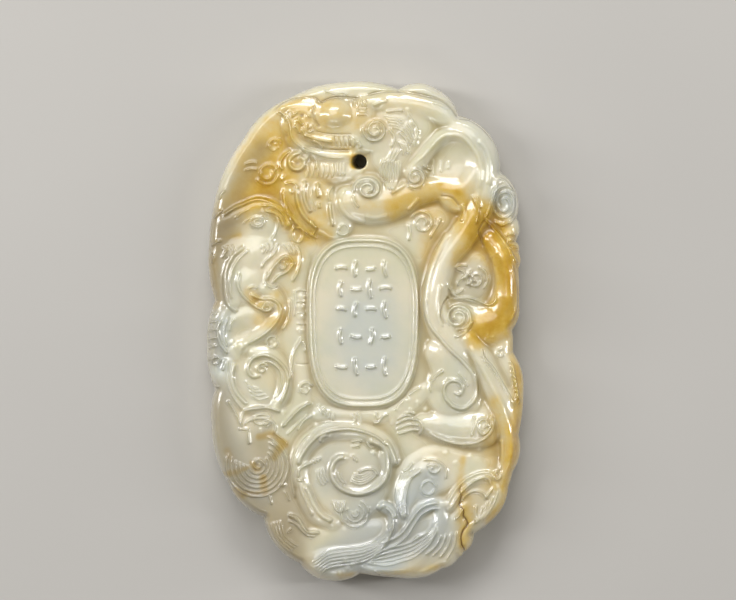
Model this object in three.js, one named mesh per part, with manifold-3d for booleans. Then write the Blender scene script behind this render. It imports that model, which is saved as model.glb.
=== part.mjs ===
// Jade pendant: an oval plaque, carved in relief with a dragon, a small dragon,
// a ringed creature, waves and a smooth cartouche, with one cord hole at the top.
// Millimetres, +Z up. It lies on its plain back: the origin is the middle of the
// back, the carved face looks up, and +Y points to the cord hole.
import * as THREE from 'three';
import Module from 'manifold-3d';

const wasm = await Module();
wasm.setup();

// Driving sizes
const LENGTH = 70; // along Y, from the foot of the waves to the top border
const WIDTH = 44.4; // along X, at the widest lobes
const BELLY = 3.9; // level above the back where the side wall is widest
const GROUND = 6.8; // sunk ground between the carved forms
const BORDER_RISE = 0.3; // the plain border at the left and the top stands this much higher
const FOOT = 6.5; // every form springs from here, just under the ground
const FACE_ROUND = 1.3; // the face rounds over the rim across this width
const RIM_INSET = 0.35; // the grid of the face stops this far inside the outline
const BACK_ROUND = 1.1; // width and height of the rounding between side wall and back

// Levels of the carving above the back
const LEVEL = { lobe: 7.1, low: 7.2, field: 7.3, mid: 7.6, curl: 7.75, creature: 7.95, limb: 8.4, crest: 8.76 };

// Cord hole, drilled slightly askew, with a small flare at both ends
const HOLE = { x: -1, y: 23.6, radius: 1, flare: 0.25, leanX: 0.7, leanY: 0.4 };

// Cells of the grid that carries the face
const CELLS_ACROSS = 46;
const CELLS_ALONG = 72;

// Outline, anticlockwise from the notch beside the top lobe. Each entry is where
// an arc starts, and how far the arc swells outwards of its chord.
const OUTLINE_ARCS = [
  [4.6, 33.9, 0.5], [-2.9, 34.9, 0.5], [-10.6, 32.7, 0.8], [-17.1, 27, 0.4],
  [-20.8, 19.8, 0.2], [-22, 12.1, 0.4], [-21.1, 4.3, 0.4], [-22.2, -1.9, 0.4],
  [-21.1, -8.1, 0.3], [-21.6, -13.1, 0.6], [-19.3, -21.1, 0.8], [-14.3, -26, 1.1],
  [-9.2, -32.5, 0.6], [-5, -34.9, 0.4], [-0.8, -33.9, 0.1], [6.2, -34.6, 0.4],
  [10.7, -33.2, 0.4], [13, -31.6, 0.2], [13.7, -30.9, 0.5], [15.1, -28.4, 0.2],
  [18.6, -25.5, 0.3], [20, -21.7, 0.05], [20.6, -19.6, 0.6], [21.4, -14.5, 0.2],
  [22.1, -8.2, 0.5], [20.6, -2.9, 0.1], [20.5, 0.2, 0.4], [21.5, 3.7, 0.05],
  [21.4, 8.8, 0.3], [21.4, 11.1, 0.3], [21, 12.6, 0.5], [21.1, 15.9, 0.2],
  [21.3, 18.6, 0.5], [18.8, 22.3, 0.4], [17.7, 27, 0.6], [13, 30.2, 0.5],
  [10.1, 33.8, 0.9],
];
const STEPS_PER_ARC = 8;

const clamp = THREE.MathUtils.clamp;

// Points along one arc from `from` towards `to`, swelling outwards by `swell`.
function arcPoints(from, to, swell) {
  const chord = new THREE.Vector2().subVectors(to, from);
  const length = chord.length();
  const radius = (length ** 2 / 4 + swell ** 2) / (2 * swell);
  const angle = 2 * Math.asin(Math.min(1, length / 2 / radius));
  const middle = new THREE.Vector2().addVectors(from, to).multiplyScalar(0.5);
  const forward = chord.normalize();
  const outward = new THREE.Vector2(forward.y, -forward.x);
  const points = [];
  for (let step = 0; step < STEPS_PER_ARC; step += 1) {
    const turn = (step / STEPS_PER_ARC - 0.5) * angle;
    const sideways = radius * (Math.cos(turn) - Math.cos(angle / 2));
    points.push(middle.clone()
      .addScaledVector(forward, radius * Math.sin(turn))
      .addScaledVector(outward, sideways));
  }
  return points;
}

function outlinePoints() {
  const corners = OUTLINE_ARCS.map(([x, y]) => new THREE.Vector2(x, y));
  return corners.flatMap((corner, i) => (
    arcPoints(corner, corners[(i + 1) % corners.length], OUTLINE_ARCS[i][2])
  ));
}

const outline = outlinePoints();
const outlineByAngle = outline
  .map((p) => ({ angle: Math.atan2(p.y, p.x), radius: p.length() }))
  .sort((a, b) => a.angle - b.angle);

// Radius of the outline in a direction, between its two nearest points.
function outlineRadius(angle) {
  const next = outlineByAngle.findIndex((p) => p.angle > angle);
  const after = outlineByAngle[next < 0 ? 0 : next];
  const before = outlineByAngle.at((next < 0 ? 0 : next) - 1);
  const turn = 2 * Math.PI;
  const span = (after.angle - before.angle + turn) % turn || 1;
  const part = ((angle - before.angle + turn) % turn) / span;
  return THREE.MathUtils.lerp(before.radius, after.radius, part);
}

// A square patch bent to the outline. u and v run from -1 to 1. The square becomes
// a disc, the disc an ellipse, and the lobes of the outline fade in towards the rim.
function facePlace(u, v) {
  const x = u * Math.sqrt(1 - v * v / 2) * WIDTH / 2;
  const y = v * Math.sqrt(1 - u * u / 2) * LENGTH / 2;
  const angle = Math.atan2(y, x);
  const reach = Math.hypot(2 * x / WIDTH, 2 * y / LENGTH);
  const ellipse = 1 / Math.hypot(2 * Math.cos(angle) / WIDTH, 2 * Math.sin(angle) / LENGTH);
  const lobed = (outlineRadius(angle) - RIM_INSET) / ellipse;
  const scale = 1 + (lobed - 1) * reach ** 3;
  return new THREE.Vector2(x * scale, y * scale);
}

const columns = CELLS_ACROSS + 1;
const rows = CELLS_ALONG + 1;
const places = [];
for (let j = 0; j < rows; j += 1) {
  for (let i = 0; i < columns; i += 1) {
    places.push(facePlace(2 * i / CELLS_ACROSS - 1, 2 * j / CELLS_ALONG - 1));
  }
}
const height = new Array(places.length).fill(GROUND);

// Nearest point of a chain of points: its distance, and how far along it lies, 0 to 1.
function nearest(place, chain) {
  let best = { distance: Infinity, along: 0 };
  for (let k = 0; k + 1 < chain.length; k += 1) {
    const segment = new THREE.Vector2().subVectors(chain[k + 1], chain[k]);
    const offset = new THREE.Vector2().subVectors(place, chain[k]);
    const part = clamp(offset.dot(segment) / segment.lengthSq(), 0, 1);
    const distance = offset.addScaledVector(segment, -part).length();
    if (distance < best.distance) best = { distance, along: (k + part) / (chain.length - 1) };
  }
  return best;
}

// One value out of a list that is spread evenly along a form.
function valueAt(list, along) {
  if (!Array.isArray(list)) return list;
  const position = along * (list.length - 1);
  const k = Math.min(Math.floor(position), list.length - 2);
  return THREE.MathUtils.lerp(list[k], list[k + 1], position - k);
}

function raise(index, level) {
  height[index] = Math.max(height[index], level);
}

// A rounded form that follows a smooth curve, with its width and top along it.
// A small `bluntness` gives a flat top with steep sides.
function limb(points, width, top, bluntness = 0.6) {
  const curve = new THREE.SplineCurve(points.map(([x, y]) => new THREE.Vector2(x, y)));
  const chain = curve.getSpacedPoints(4 * points.length);
  places.forEach((place, index) => {
    const { distance, along } = nearest(place, chain);
    const across = distance / (valueAt(width, along) / 2);
    if (across < 1) raise(index, FOOT + (valueAt(top, along) - FOOT) * (1 - across ** 2) ** bluntness);
  });
}

// How far out a place lies in a turned ellipse: 0 at its centre, 1 on its rim.
function reachInEllipse(place, [x, y], radiusX, radiusY, turn) {
  const offset = new THREE.Vector2(place.x - x, place.y - y);
  offset.rotateAround(new THREE.Vector2(), -THREE.MathUtils.degToRad(turn));
  return Math.hypot(offset.x / radiusX, offset.y / radiusY);
}

function mound(centre, radiusX, radiusY, top, turn = 0, bluntness = 0.6) {
  places.forEach((place, index) => {
    const reach = reachInEllipse(place, centre, radiusX, radiusY, turn);
    if (reach < 1) raise(index, FOOT + (top - FOOT) * (1 - reach ** 2) ** bluntness);
  });
}

function dish(centre, radiusX, radiusY, depth, turn = 0) {
  places.forEach((place, index) => {
    const reach = reachInEllipse(place, centre, radiusX, radiusY, turn);
    if (reach < 1) height[index] -= depth * (1 - reach ** 2);
  });
}

// The plain border stands above the ground at the left and at the top.
function carveBorder() {
  const BORDER_LEFT = -9.2;
  const BORDER_TOP = 28.9;
  const SLOPE = 3;
  places.forEach((place, index) => {
    const inside = Math.max(BORDER_LEFT - place.x, place.y - BORDER_TOP) / SLOPE;
    height[index] += BORDER_RISE * clamp(inside, 0, 1);
  });
}

// Cloud and wave lobes that scallop the rim.
function carveRimLobes() {
  mound([19.5, 18.4], 2.5, 4.4, LEVEL.low, 8);
  mound([20.2, 13.9], 1.6, 2.6, LEVEL.lobe, 12);
  mound([20.5, 10.5], 1.4, 2.2, LEVEL.lobe);
  mound([-21, -2.1], 2.2, 6.4, LEVEL.lobe);
  mound([-16.2, -16.9], 5.6, 7.2, LEVEL.low, 25, 0.4);
  mound([-11.5, -28.1], 4.6, 5.2, LEVEL.low, -20, 0.4);
  mound([17, -23.4], 4.6, 6.2, LEVEL.low, -20, 0.4);
  mound([19.6, -6.8], 3, 6.4, LEVEL.lobe, 12, 0.4);
}

// Low flat masses that the figures are cut from.
function carveMasses() {
  limb([[-9.5, 29], [-5.7, 28.6], [-1.9, 28.2], [2, 27.5]], [4.6, 7.4, 7.2, 5.6], LEVEL.curl, 0.3);
  mound([5.1, 27], 5, 8, LEVEL.curl, 10, 0.35);
  limb([[-10.1, 23.3], [-5.7, 22.6], [-1.9, 22.3]], [4.6, 4.2, 3.4], LEVEL.field, 0.3);
  limb([[-9.5, 21.9], [-7.5, 17.7], [-4.3, 15.3]], [5.6, 7.6, 5.4], LEVEL.mid, 0.3);
  mound([-15.9, 8.8], 4.8, 5.8, LEVEL.mid, -15, 0.35);
  mound([-16.6, 0.4], 5.2, 3.6, LEVEL.mid, 30, 0.3);
  mound([-15.4, -6.8], 4.8, 4.8, LEVEL.field, 0, 0.3);
  mound([-15.1, 15.3], 5, 3.2, LEVEL.field, 10, 0.35);
  mound([-11.7, 8.8], 2.8, 3.4, LEVEL.field, 0, 0.35);
  limb([[-11.3, -11.7], [-9.2, -9.6], [-10.3, 1.6], [-9.8, 9.7]], [3, 3, 3.4, 4], LEVEL.lobe, 0.3);
  limb([[-9.2, -30.4], [-2.9, -30.4], [4.8, -29.9], [11.1, -27.8]], [6, 8, 8.4, 6], LEVEL.field, 0.3);
  limb([[5.5, -25.7], [6.9, -21.5], [9.7, -19.2], [14.6, -19.4]], [6, 7, 6.6, 5], LEVEL.low, 0.3);
  mound([-2.9, -20.3], 6.6, 6.4, LEVEL.mid, 0, 0.3);
  mound([13.7, -7.4], 5.2, 6.2, LEVEL.curl, -20, 0.35);
  mound([12.5, -13.1], 4.8, 2.8, LEVEL.mid, 0, 0.35);
  mound([8.7, 15.3], 3.2, 2.8, LEVEL.lobe, 0, 0.4);
  mound([14.6, 7.9], 3.4, 3.2, LEVEL.lobe, 0, 0.3);
  limb([[4.1, -11.3], [6.9, -9.4], [8.7, -8]], [2.6, 2.8, 2], LEVEL.lobe, 0.35);
  limb([[-6.4, -11.6], [-2.2, -12], [2.3, -11.7]], 2.3, LEVEL.lobe, 0.35);
}

// The large dragon's back and shoulder, with a dished flank, and its foreleg.
function carveDragonFront() {
  limb([[-0.5, 31.8], [4.1, 31.8], [8.3, 31.1], [11.4, 29.7], [13.5, 27.6]], [2.4, 3.4, 4, 4.4, 4.2], LEVEL.creature);
  mound([14, 23.4], 5.2, 7.2, LEVEL.limb, -8, 0.3);
  limb(
    [[12.5, 28.6], [15.1, 27], [16.8, 25.1], [17.2, 22.6], [16.8, 19.5], [16, 16.4], [14.6, 13.6]],
    [2.8, 4, 4.2, 4, 3.8, 3.6, 3],
    [LEVEL.creature, LEVEL.limb, LEVEL.limb, LEVEL.limb, LEVEL.creature],
  );
  limb(
    [[6.2, 22], [7.6, 23.7], [9.4, 25.8], [11.4, 27.2], [13.5, 27], [15.1, 25.4], [16, 22.6], [15.7, 19.5]],
    [2.4, 3, 3, 3, 3, 2.6, 2.6, 2.6],
    LEVEL.limb,
  );
  dish([11.8, 23.4], 3.2, 3.4, 0.9, -20);
  limb(
    [[15.1, 21.7], [13.5, 19.8], [10.4, 19.9], [7.3, 19.5], [4.5, 18.5], [2, 17.9], [-0.5, 17.8], [-2.1, 17.9]],
    [3.8, 4.2, 3.8, 4.4, 5.4, 6.2, 6.4, 5.4],
    [LEVEL.limb, LEVEL.creature, LEVEL.limb, LEVEL.limb],
  );
  mound([7, 21.4], 1.7, 1.7, LEVEL.crest);
  mound([0.3, 19.5], 2.8, 2.6, LEVEL.crest);
}

// Its long body winds down beside the cartouche to the haunch, hind leg and foot.
function carveDragonBody() {
  limb(
    [[15.7, 18.6], [14.9, 15.8], [13.2, 12.9], [11.2, 10.2], [10.1, 7], [9.5, 3.7], [10.5, 0.4], [12.5, -2.6],
      [14.3, -5.7]],
    [3.6, 4.2, 4.4, 4.2, 4.1, 4.1, 4.6, 5.6, 6.4],
    LEVEL.limb,
  );
  limb(
    [[13.5, 1.8], [16, 1.4], [18.2, 1.8], [19.8, 4.4], [19.9, 7.4], [19.1, 10.7], [17.2, 13]],
    [5.8, 6.2, 6.2, 4.4, 3.5, 3.6, 2.8],
    [LEVEL.limb, LEVEL.limb, LEVEL.limb, LEVEL.curl],
  );
  limb(
    [[12.1, -2.9], [13.7, -5.7], [13.7, -8.5], [12.6, -9.6]],
    [7, 9.6, 9.6, 7],
    [LEVEL.limb, LEVEL.limb, LEVEL.crest, LEVEL.limb],
    0.5,
  );
  limb(
    [[14.6, -1.8], [16, -4.9], [17.7, -7.8], [19.1, -10.6], [19.9, -14.1], [19.8, -17.8], [18.6, -20.6]],
    [3.2, 4, 4, 3.4, 2.8, 2.4, 1.6],
    [LEVEL.limb, LEVEL.crest, LEVEL.crest, LEVEL.limb, LEVEL.low],
  );
  limb(
    [[18.6, -9.9], [17.4, -13], [14.3, -13.6], [11.1, -13.3], [8.1, -12.9]],
    [5.6, 5.6, 5.6, 4.8, 3],
    [LEVEL.limb, LEVEL.creature],
  );
}

// Its head looks left: snout, two jaws, domed brow and a curled ear.
function carveDragonHead() {
  limb([[-6.1, 30.1], [-8.5, 30.7], [-11.5, 31.4]], [4.6, 3.6, 2], [LEVEL.creature, LEVEL.curl, LEVEL.mid]);
  limb([[-9.5, 29.3], [-8.8, 27.9], [-6.7, 26.9], [-3.9, 26.5], [-1.4, 26.5]], 2.2, LEVEL.creature);
  limb([[-10.1, 28.4], [-9.9, 26.5], [-7.8, 25.2], [-4.7, 24.5], [-1.9, 24.4]], 2, LEVEL.curl);
  mound([-4.3, 30.1], 3.4, 2.7, LEVEL.crest, 0, 1);
  mound([-0.4, 30.1], 2.6, 2.8, LEVEL.creature);
  mound([1.3, 28], 2.4, 2.2, LEVEL.limb);
}

// Cloud curl and the bands of mane that hang below the jaw.
function carveMane() {
  mound([-9.5, 23.5], 2.4, 2.3, LEVEL.curl);
  limb([[-7.8, 22.3], [-5, 22.3], [-2.2, 21.7]], [2.6, 2.6, 1.8], LEVEL.mid);
  limb([[-9.2, 19.8], [-8.8, 17.2], [-7.3, 15.3], [-5, 14.4]], [2.6, 3, 3, 2.4], LEVEL.mid);
  limb([[-6.7, 20], [-5, 18.6], [-4.6, 15.8]], [2.4, 2.8, 2.4], LEVEL.mid);
}

// The small dragon at the left: hood, brow, cheek, ear and curling body.
function carveSmallDragon() {
  limb(
    [[-19.7, 15.3], [-16.9, 16.7], [-14.5, 17.5], [-12.3, 16.7], [-10.9, 14.7]],
    [2.8, 3.4, 3.2, 2.6, 2],
    [LEVEL.field, LEVEL.curl, LEVEL.mid],
  );
  mound([-14.5, 15], 2.2, 1.6, LEVEL.mid);
  mound([-15.5, 10.7], 3.4, 2.8, LEVEL.creature, 40);
  mound([-16.5, 6.7], 4, 3.4, LEVEL.creature, 60);
  limb([[-17.9, 9.7], [-18.7, 6.9], [-18.3, 4.1]], [2.8, 3, 2.6], LEVEL.curl);
  limb(
    [[-14, 6], [-12.6, 4.6], [-12.2, 2.7], [-13.4, 0.6], [-15.8, -1.2], [-17.9, -2.4]],
    2.6,
    [LEVEL.creature, LEVEL.curl],
  );
  mound([-13.8, 3.4], 2, 1.8, LEVEL.creature);
  limb([[-14, 8.3], [-12.4, 9.3], [-11.2, 9.4]], 2.4, LEVEL.mid);
  limb([[-19.3, 3], [-20.3, 0.4], [-20, -1.9], [-18.2, -3.2]], 2.2, LEVEL.mid);
  dish([-17.1, 0.2], 2.6, 1.7, 0.5, 28);
  limb([[-19, -4.3], [-19.2, -6.8], [-17.6, -9.6], [-15.1, -10.8]], 2.6, LEVEL.mid);
  limb([[-15.5, -2.9], [-13.4, -3.2], [-11.6, -5.2], [-11.5, -8.5], [-12.6, -10.5]], 2.4, LEVEL.curl);
}

// The creature curled into a ring under the cartouche.
function carveRingedCreature() {
  limb(
    [[-8.9, -20.6], [-9.1, -17.8], [-8, -15.7], [-5.7, -14.1], [-2.9, -13.8], [0.3, -14.3], [2.7, -15.7],
      [3.8, -18]],
    [3, 3.2, 3.2, 3.2, 3, 2],
    [LEVEL.curl, LEVEL.creature, LEVEL.creature, LEVEL.mid],
  );
  mound([-0.5, -18.9], 4, 3.4, LEVEL.mid, 0, 0.35);
  limb(
    [[-2.9, -17.6], [-4.3, -18.3], [-4.5, -20.3], [-3.1, -21.8], [-0.8, -22.2], [1.4, -21.5], [2.8, -19.6],
      [2.5, -17.3]],
    1.8,
    LEVEL.creature,
  );
  limb([[-8.7, -20.8], [-8.2, -23.4], [-6.7, -25.6], [-4.5, -26.7]], [2.4, 2.8, 3, 2.4], LEVEL.curl);
}

// Breaking waves along the foot.
function carveWaves() {
  limb(
    [[-9.2, -32], [-5, -31.5], [-1.1, -31.1], [2, -29.9], [3.8, -27.6], [3.8, -25.3], [2.5, -24.3]],
    [3.6, 4.6, 4.2, 4, 3.4, 2.6, 1.8],
    [LEVEL.field, LEVEL.curl, LEVEL.curl, LEVEL.curl],
  );
  limb(
    [[0.9, -33.2], [4.1, -32.7], [6.9, -31.5], [9, -29.2], [10.4, -26.4], [10.4, -24.2]],
    [2.6, 3.4, 3.6, 3.6, 3.2, 2],
    LEVEL.mid,
  );
  limb([[3.4, -29.9], [5.5, -27.8], [7, -25.3], [9, -24.1], [10.9, -24.1]], [3, 3, 2.8, 2.4, 1.8], LEVEL.mid);
  limb([[5.2, -26.4], [5.5, -23.6], [6.5, -20.8], [8.1, -19.2]], [2.8, 3.4, 3.6, 2.6], LEVEL.mid);
  mound([9.5, -19.2], 2, 1.8, LEVEL.mid);
  mound([-2.2, -32.5], 2.2, 1.9, LEVEL.mid);
  limb([[11.8, -24.2], [13.2, -22], [15.1, -20.6], [17.4, -20.3], [18.1, -22]], [2.2, 2.4, 2.2, 1.4], LEVEL.mid);
  limb([[11.8, -29.2], [12.5, -26.4], [13.7, -24.3]], [2, 2.6, 1.8], LEVEL.field);
}

// The wheel softens every form: each place moves halfway to its neighbours' mean.
function polish() {
  const before = height.slice();
  for (let j = 1; j + 1 < rows; j += 1) {
    for (let i = 1; i + 1 < columns; i += 1) {
      const index = j * columns + i;
      const around = [index - 1, index + 1, index - columns, index + columns];
      const mean = around.reduce((sum, k) => sum + before[k], 0) / around.length;
      height[index] = (before[index] + mean) / 2;
    }
  }
}

// The cartouche: a smooth field inside a raised rim, in a rounded rectangle that
// narrows a little towards the foot.
function carveCartouche() {
  const CENTRE = new THREE.Vector2(-0.3, 1.2);
  const HALF_WIDTH = 7.6;
  const HALF_LENGTH = 11.8;
  const NARROWING = 0.0025;
  const SQUARENESS = 3;
  const RIM_START = 0.89;
  const RIM_RISE = 0.35;
  const WALL_SLOPE = 9;
  places.forEach((place, index) => {
    const across = Math.abs(place.x - CENTRE.x) / (HALF_WIDTH * (1 - NARROWING * (CENTRE.y - place.y)));
    const along = Math.abs(place.y - CENTRE.y) / HALF_LENGTH;
    const reach = (across ** SQUARENESS + along ** SQUARENESS) ** (1 / SQUARENESS);
    const rim = LEVEL.field + RIM_RISE * clamp((reach - RIM_START) / (1 - RIM_START), 0, 1);
    if (reach < 1) height[index] = rim;
    else raise(index, rim - WALL_SLOPE * (reach - 1));
  });
}

// The face falls away over the rim in a quarter ellipse, down to the belly.
function roundRim() {
  const closed = [...outline, outline[0]];
  places.forEach((place, index) => {
    const inward = clamp(1 - nearest(place, closed).distance / FACE_ROUND, 0, 1);
    height[index] = BELLY + (height[index] - BELLY) * Math.sqrt(1 - inward ** 2);
  });
}

carveBorder();
carveRimLobes();
carveMasses();
carveDragonFront();
carveDragonBody();
carveDragonHead();
carveMane();
carveSmallDragon();
carveRingedCreature();
carveWaves();
polish();
carveCartouche();
roundRim();

// The rim of the grid, anticlockwise from its lower left corner.
function rimIndices() {
  const rim = [];
  for (let i = 0; i < CELLS_ACROSS; i += 1) rim.push(i);
  for (let j = 0; j < CELLS_ALONG; j += 1) rim.push(j * columns + CELLS_ACROSS);
  for (let i = CELLS_ACROSS; i > 0; i -= 1) rim.push(CELLS_ALONG * columns + i);
  for (let j = CELLS_ALONG; j > 0; j -= 1) rim.push(j * columns);
  return rim;
}

// Rings of the side wall below the face, as insets from the outline and levels.
// The first one meets the belly, and the last one is the edge of the flat back.
function wallRings() {
  const rings = [{ inset: 0, level: BELLY }];
  const STEPS = 3;
  for (let step = 0; step <= STEPS; step += 1) {
    const turn = (step / STEPS) * Math.PI / 2;
    rings.push({ inset: BACK_ROUND * (1 - Math.cos(turn)), level: BACK_ROUND * (1 - Math.sin(turn)) });
  }
  return rings;
}

function plaqueMesh() {
  const vertices = places.map((place, index) => [place.x, place.y, height[index]]);
  const faces = [];
  for (let j = 0; j < CELLS_ALONG; j += 1) {
    for (let i = 0; i < CELLS_ACROSS; i += 1) {
      const a = j * columns + i;
      const c = a + columns + 1;
      faces.push([a, a + 1, c], [a, c, a + columns]);
    }
  }
  const rim = rimIndices();
  let upper = rim;
  for (const { inset, level } of wallRings()) {
    const lower = rim.map((k) => {
      const [x, y] = vertices[k];
      const angle = Math.atan2(y, x);
      const radius = outlineRadius(angle) - inset;
      return vertices.push([radius * Math.cos(angle), radius * Math.sin(angle), level]) - 1;
    });
    for (let k = 0; k < rim.length; k += 1) {
      const next = (k + 1) % rim.length;
      faces.push([upper[k], lower[k], lower[next]], [upper[k], lower[next], upper[next]]);
    }
    upper = lower;
  }
  const back = upper;
  const loop = back.map((k) => new THREE.Vector2(vertices[k][0], vertices[k][1]));
  for (const [a, b, c] of THREE.ShapeUtils.triangulateShape(loop, [])) {
    faces.push([back[a], back[c], back[b]]);
  }
  return new wasm.Mesh({
    numProp: 3,
    vertProperties: new Float32Array(vertices.flat()),
    triVerts: new Uint32Array(faces.flat()),
  });
}

// The drill that makes the cord hole: a rod with a flare at the back and at the face.
function drillMesh() {
  const BELOW = -1;
  const FLARE_LENGTH = 0.5;
  const SIDES = 24;
  const face = LEVEL.mid;
  const wide = HOLE.radius + HOLE.flare;
  const profile = [
    [0, BELOW],
    [wide, BELOW],
    [wide, 0],
    [HOLE.radius, FLARE_LENGTH],
    [HOLE.radius, face - FLARE_LENGTH],
    [wide, face],
    [wide, face + 1],
    [0, face + 1],
  ].map(([radius, level]) => new THREE.Vector2(radius, level));
  const drill = new THREE.LatheGeometry(profile, SIDES);
  drill.rotateX(Math.PI / 2);
  const position = drill.getAttribute('position');
  const merged = new Map();
  const vertices = [];
  const index = Array.from({ length: position.count }, (_, k) => {
    const z = position.getZ(k);
    const lean = 1 - z / face;
    const point = [
      position.getX(k) + HOLE.x + HOLE.leanX * lean,
      position.getY(k) + HOLE.y + HOLE.leanY * lean,
      z,
    ];
    const key = point.map((value) => value.toFixed(4)).join();
    if (!merged.has(key)) merged.set(key, vertices.push(point) - 1);
    return merged.get(key);
  });
  const corners = Array.from(drill.getIndex().array, (k) => index[k]);
  const faces = [];
  for (let k = 0; k < corners.length; k += 3) {
    const [a, b, c] = corners.slice(k, k + 3);
    if (a !== b && b !== c && c !== a) faces.push([a, b, c]);
  }
  return new wasm.Mesh({
    numProp: 3,
    vertProperties: new Float32Array(vertices.flat()),
    triVerts: new Uint32Array(faces.flat()),
  });
}

function geometryOf(solid) {
  const { vertProperties, triVerts } = solid.getMesh();
  const geometry = new THREE.BufferGeometry();
  geometry.setAttribute('position', new THREE.BufferAttribute(vertProperties, 3));
  geometry.setIndex(new THREE.BufferAttribute(triVerts, 1));
  geometry.computeVertexNormals();
  return geometry;
}

const plaque = new wasm.Manifold(plaqueMesh());
const drill = new wasm.Manifold(drillMesh());
const jade = new THREE.MeshStandardMaterial({ color: 0xd8d2b4, roughness: 0.25, metalness: 0 });

const pendant = new THREE.Mesh(geometryOf(plaque.subtract(drill)), jade);
pendant.name = 'pendant';

const object = new THREE.Group();
object.add(pendant);

export default object;
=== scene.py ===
# %% [markdown]
# **A carved jade pendant.** The real piece is one slab of pale nephrite, about
# 70 mm long and not 9 mm thick. It was sawn, drilled for a cord, carved with small
# wheels and abrasive, and then polished for days. Here it lies on its flat back on
# a pale table, and the camera looks straight down on it. The script builds it as
# one closed skin: the carved face is a sheet of points whose heights are worked
# out stroke by stroke, in the order in which a carver would cut them.

import bpy
import numpy as np
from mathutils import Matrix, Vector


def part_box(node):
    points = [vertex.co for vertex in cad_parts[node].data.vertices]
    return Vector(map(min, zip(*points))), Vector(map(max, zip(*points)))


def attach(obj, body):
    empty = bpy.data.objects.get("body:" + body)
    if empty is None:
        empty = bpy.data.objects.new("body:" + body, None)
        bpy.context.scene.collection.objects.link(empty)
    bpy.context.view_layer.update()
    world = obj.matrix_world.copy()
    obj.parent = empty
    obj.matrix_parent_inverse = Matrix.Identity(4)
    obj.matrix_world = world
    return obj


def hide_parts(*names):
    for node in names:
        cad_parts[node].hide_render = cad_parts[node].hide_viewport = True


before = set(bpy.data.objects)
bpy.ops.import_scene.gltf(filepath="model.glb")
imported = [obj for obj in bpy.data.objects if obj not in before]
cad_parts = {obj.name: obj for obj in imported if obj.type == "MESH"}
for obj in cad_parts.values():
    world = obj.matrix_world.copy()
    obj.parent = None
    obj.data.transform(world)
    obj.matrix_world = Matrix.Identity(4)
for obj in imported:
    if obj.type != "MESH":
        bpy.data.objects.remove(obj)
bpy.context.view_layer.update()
MM = 0.001
low, high = [np.array(corner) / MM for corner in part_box("pendant")]
print("solid, mm:", (high - low).round(2))

# %% [markdown]
# **The sizes that drive everything.** They are in millimetres, because a carver
# thinks in them, and only the last step turns them into metres. Levels are heights
# above the flat back. A few named levels keep the carving in order: the ground is
# sunk deepest, clouds and waves stand low, and the large dragon stands highest. The
# foot, a little under the ground, is where the section of every limb starts, so
# that a limb leaves the ground at a slant.

# %% Driving sizes
LENGTH = 70.0
WIDTH = 44.4
FOOT = 6.5
GROUND = 6.8
LOBE = 7.1
LOW = 7.2
FIELD = 7.3
MID = 7.55
CURL = 7.7
CREATURE = 7.85
LIMB = 8.3
CREST = 8.55
print("levels of the carving, mm:", GROUND, "to", CREST)

# %% [markdown]
# **The outline.** Seen from above, the rim swells and dips where clouds, limbs and
# waves run over it, so it isn't an oval. It could be traced with hundreds of
# points, but each swelling is really one arc. Each entry is the place where an arc
# starts and how far it swells outside its chord, and the arcs follow each other
# anticlockwise.

# %% Outline
OUTLINE_ARCS = [
    (4.6, 33.9, 0.5), (-2.9, 34.9, 0.5), (-10.6, 32.7, 0.8), (-17.1, 27, 0.4), (-20.8, 19.8, 0.2),
    (-22, 12.1, 0.4), (-21.1, 4.3, 0.4), (-22.2, -1.9, 0.4), (-21.1, -8.1, 0.3), (-21.6, -13.1, 0.6),
    (-19.3, -21.1, 0.8), (-14.3, -26, 1.1), (-9.2, -32.5, 0.6), (-5, -34.9, 0.4), (-0.8, -33.9, 0.1),
    (6.2, -34.6, 0.4), (10.7, -33.2, 0.4), (13, -31.6, 0.2), (13.7, -30.9, 0.5), (15.1, -28.4, 0.2),
    (18.6, -25.5, 0.3), (20, -21.7, 0.05), (20.6, -19.6, 0.6), (21.4, -14.5, 0.2), (22.1, -8.2, 0.5),
    (20.6, -2.9, 0.1), (20.5, 0.2, 0.4), (21.5, 3.7, 0.05), (21.4, 8.8, 0.3), (21.4, 11.1, 0.3),
    (21, 12.6, 0.5), (21.1, 15.9, 0.2), (21.3, 18.6, 0.5), (18.8, 22.3, 0.4), (17.7, 27, 0.6),
    (13, 30.2, 0.5), (10.1, 33.8, 0.9),
]
STEPS_PER_ARC = 12


def arc_points(start, end, swell):
    """Points on the circle through start and end. Its radius is (chord²/4 + swell²) / (2·swell)."""
    chord = end - start
    length = np.hypot(*chord)
    radius = (length ** 2 / 4 + swell ** 2) / (2 * swell)
    half_angle = np.arcsin(length / 2 / radius)
    turn = np.linspace(-half_angle, half_angle, STEPS_PER_ARC, endpoint=False)[:, None]
    forward = chord / length
    outward = np.array([forward[1], -forward[0]])
    sideways = radius * (np.cos(turn) - np.cos(half_angle))
    return (start + end) / 2 + radius * np.sin(turn) * forward + sideways * outward


starts = np.array([arc[:2] for arc in OUTLINE_ARCS])
swells = [arc[2] for arc in OUTLINE_ARCS]
outline = np.vstack([arc_points(*arc) for arc in zip(starts, np.roll(starts, -1, axis=0), swells)])
outline_angle = np.arctan2(outline[:, 1], outline[:, 0])
outline_radius = np.hypot(outline[:, 0], outline[:, 1])
print("outline:", len(outline), "points, mm", np.ptp(outline, axis=0).round(1))

# %% [markdown]
# **The sheet of the face.** The face needs even, square cells, because fine
# carving tears on long thin ones. A round grid would crowd in the middle. So a
# square grid is bent into a disc, the disc is stretched into an oval, and the
# lobes of the outline fade in towards the rim. Every point keeps its row and
# column, and later the heights are smoothed along them. The sheet stops a little
# inside the outline, where the rounding of the rim grows too steep for it.

# %% Sheet of the face
CELLS_ACROSS = 232
CELLS_ALONG = 368
RIM_INSET = 0.35


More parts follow.
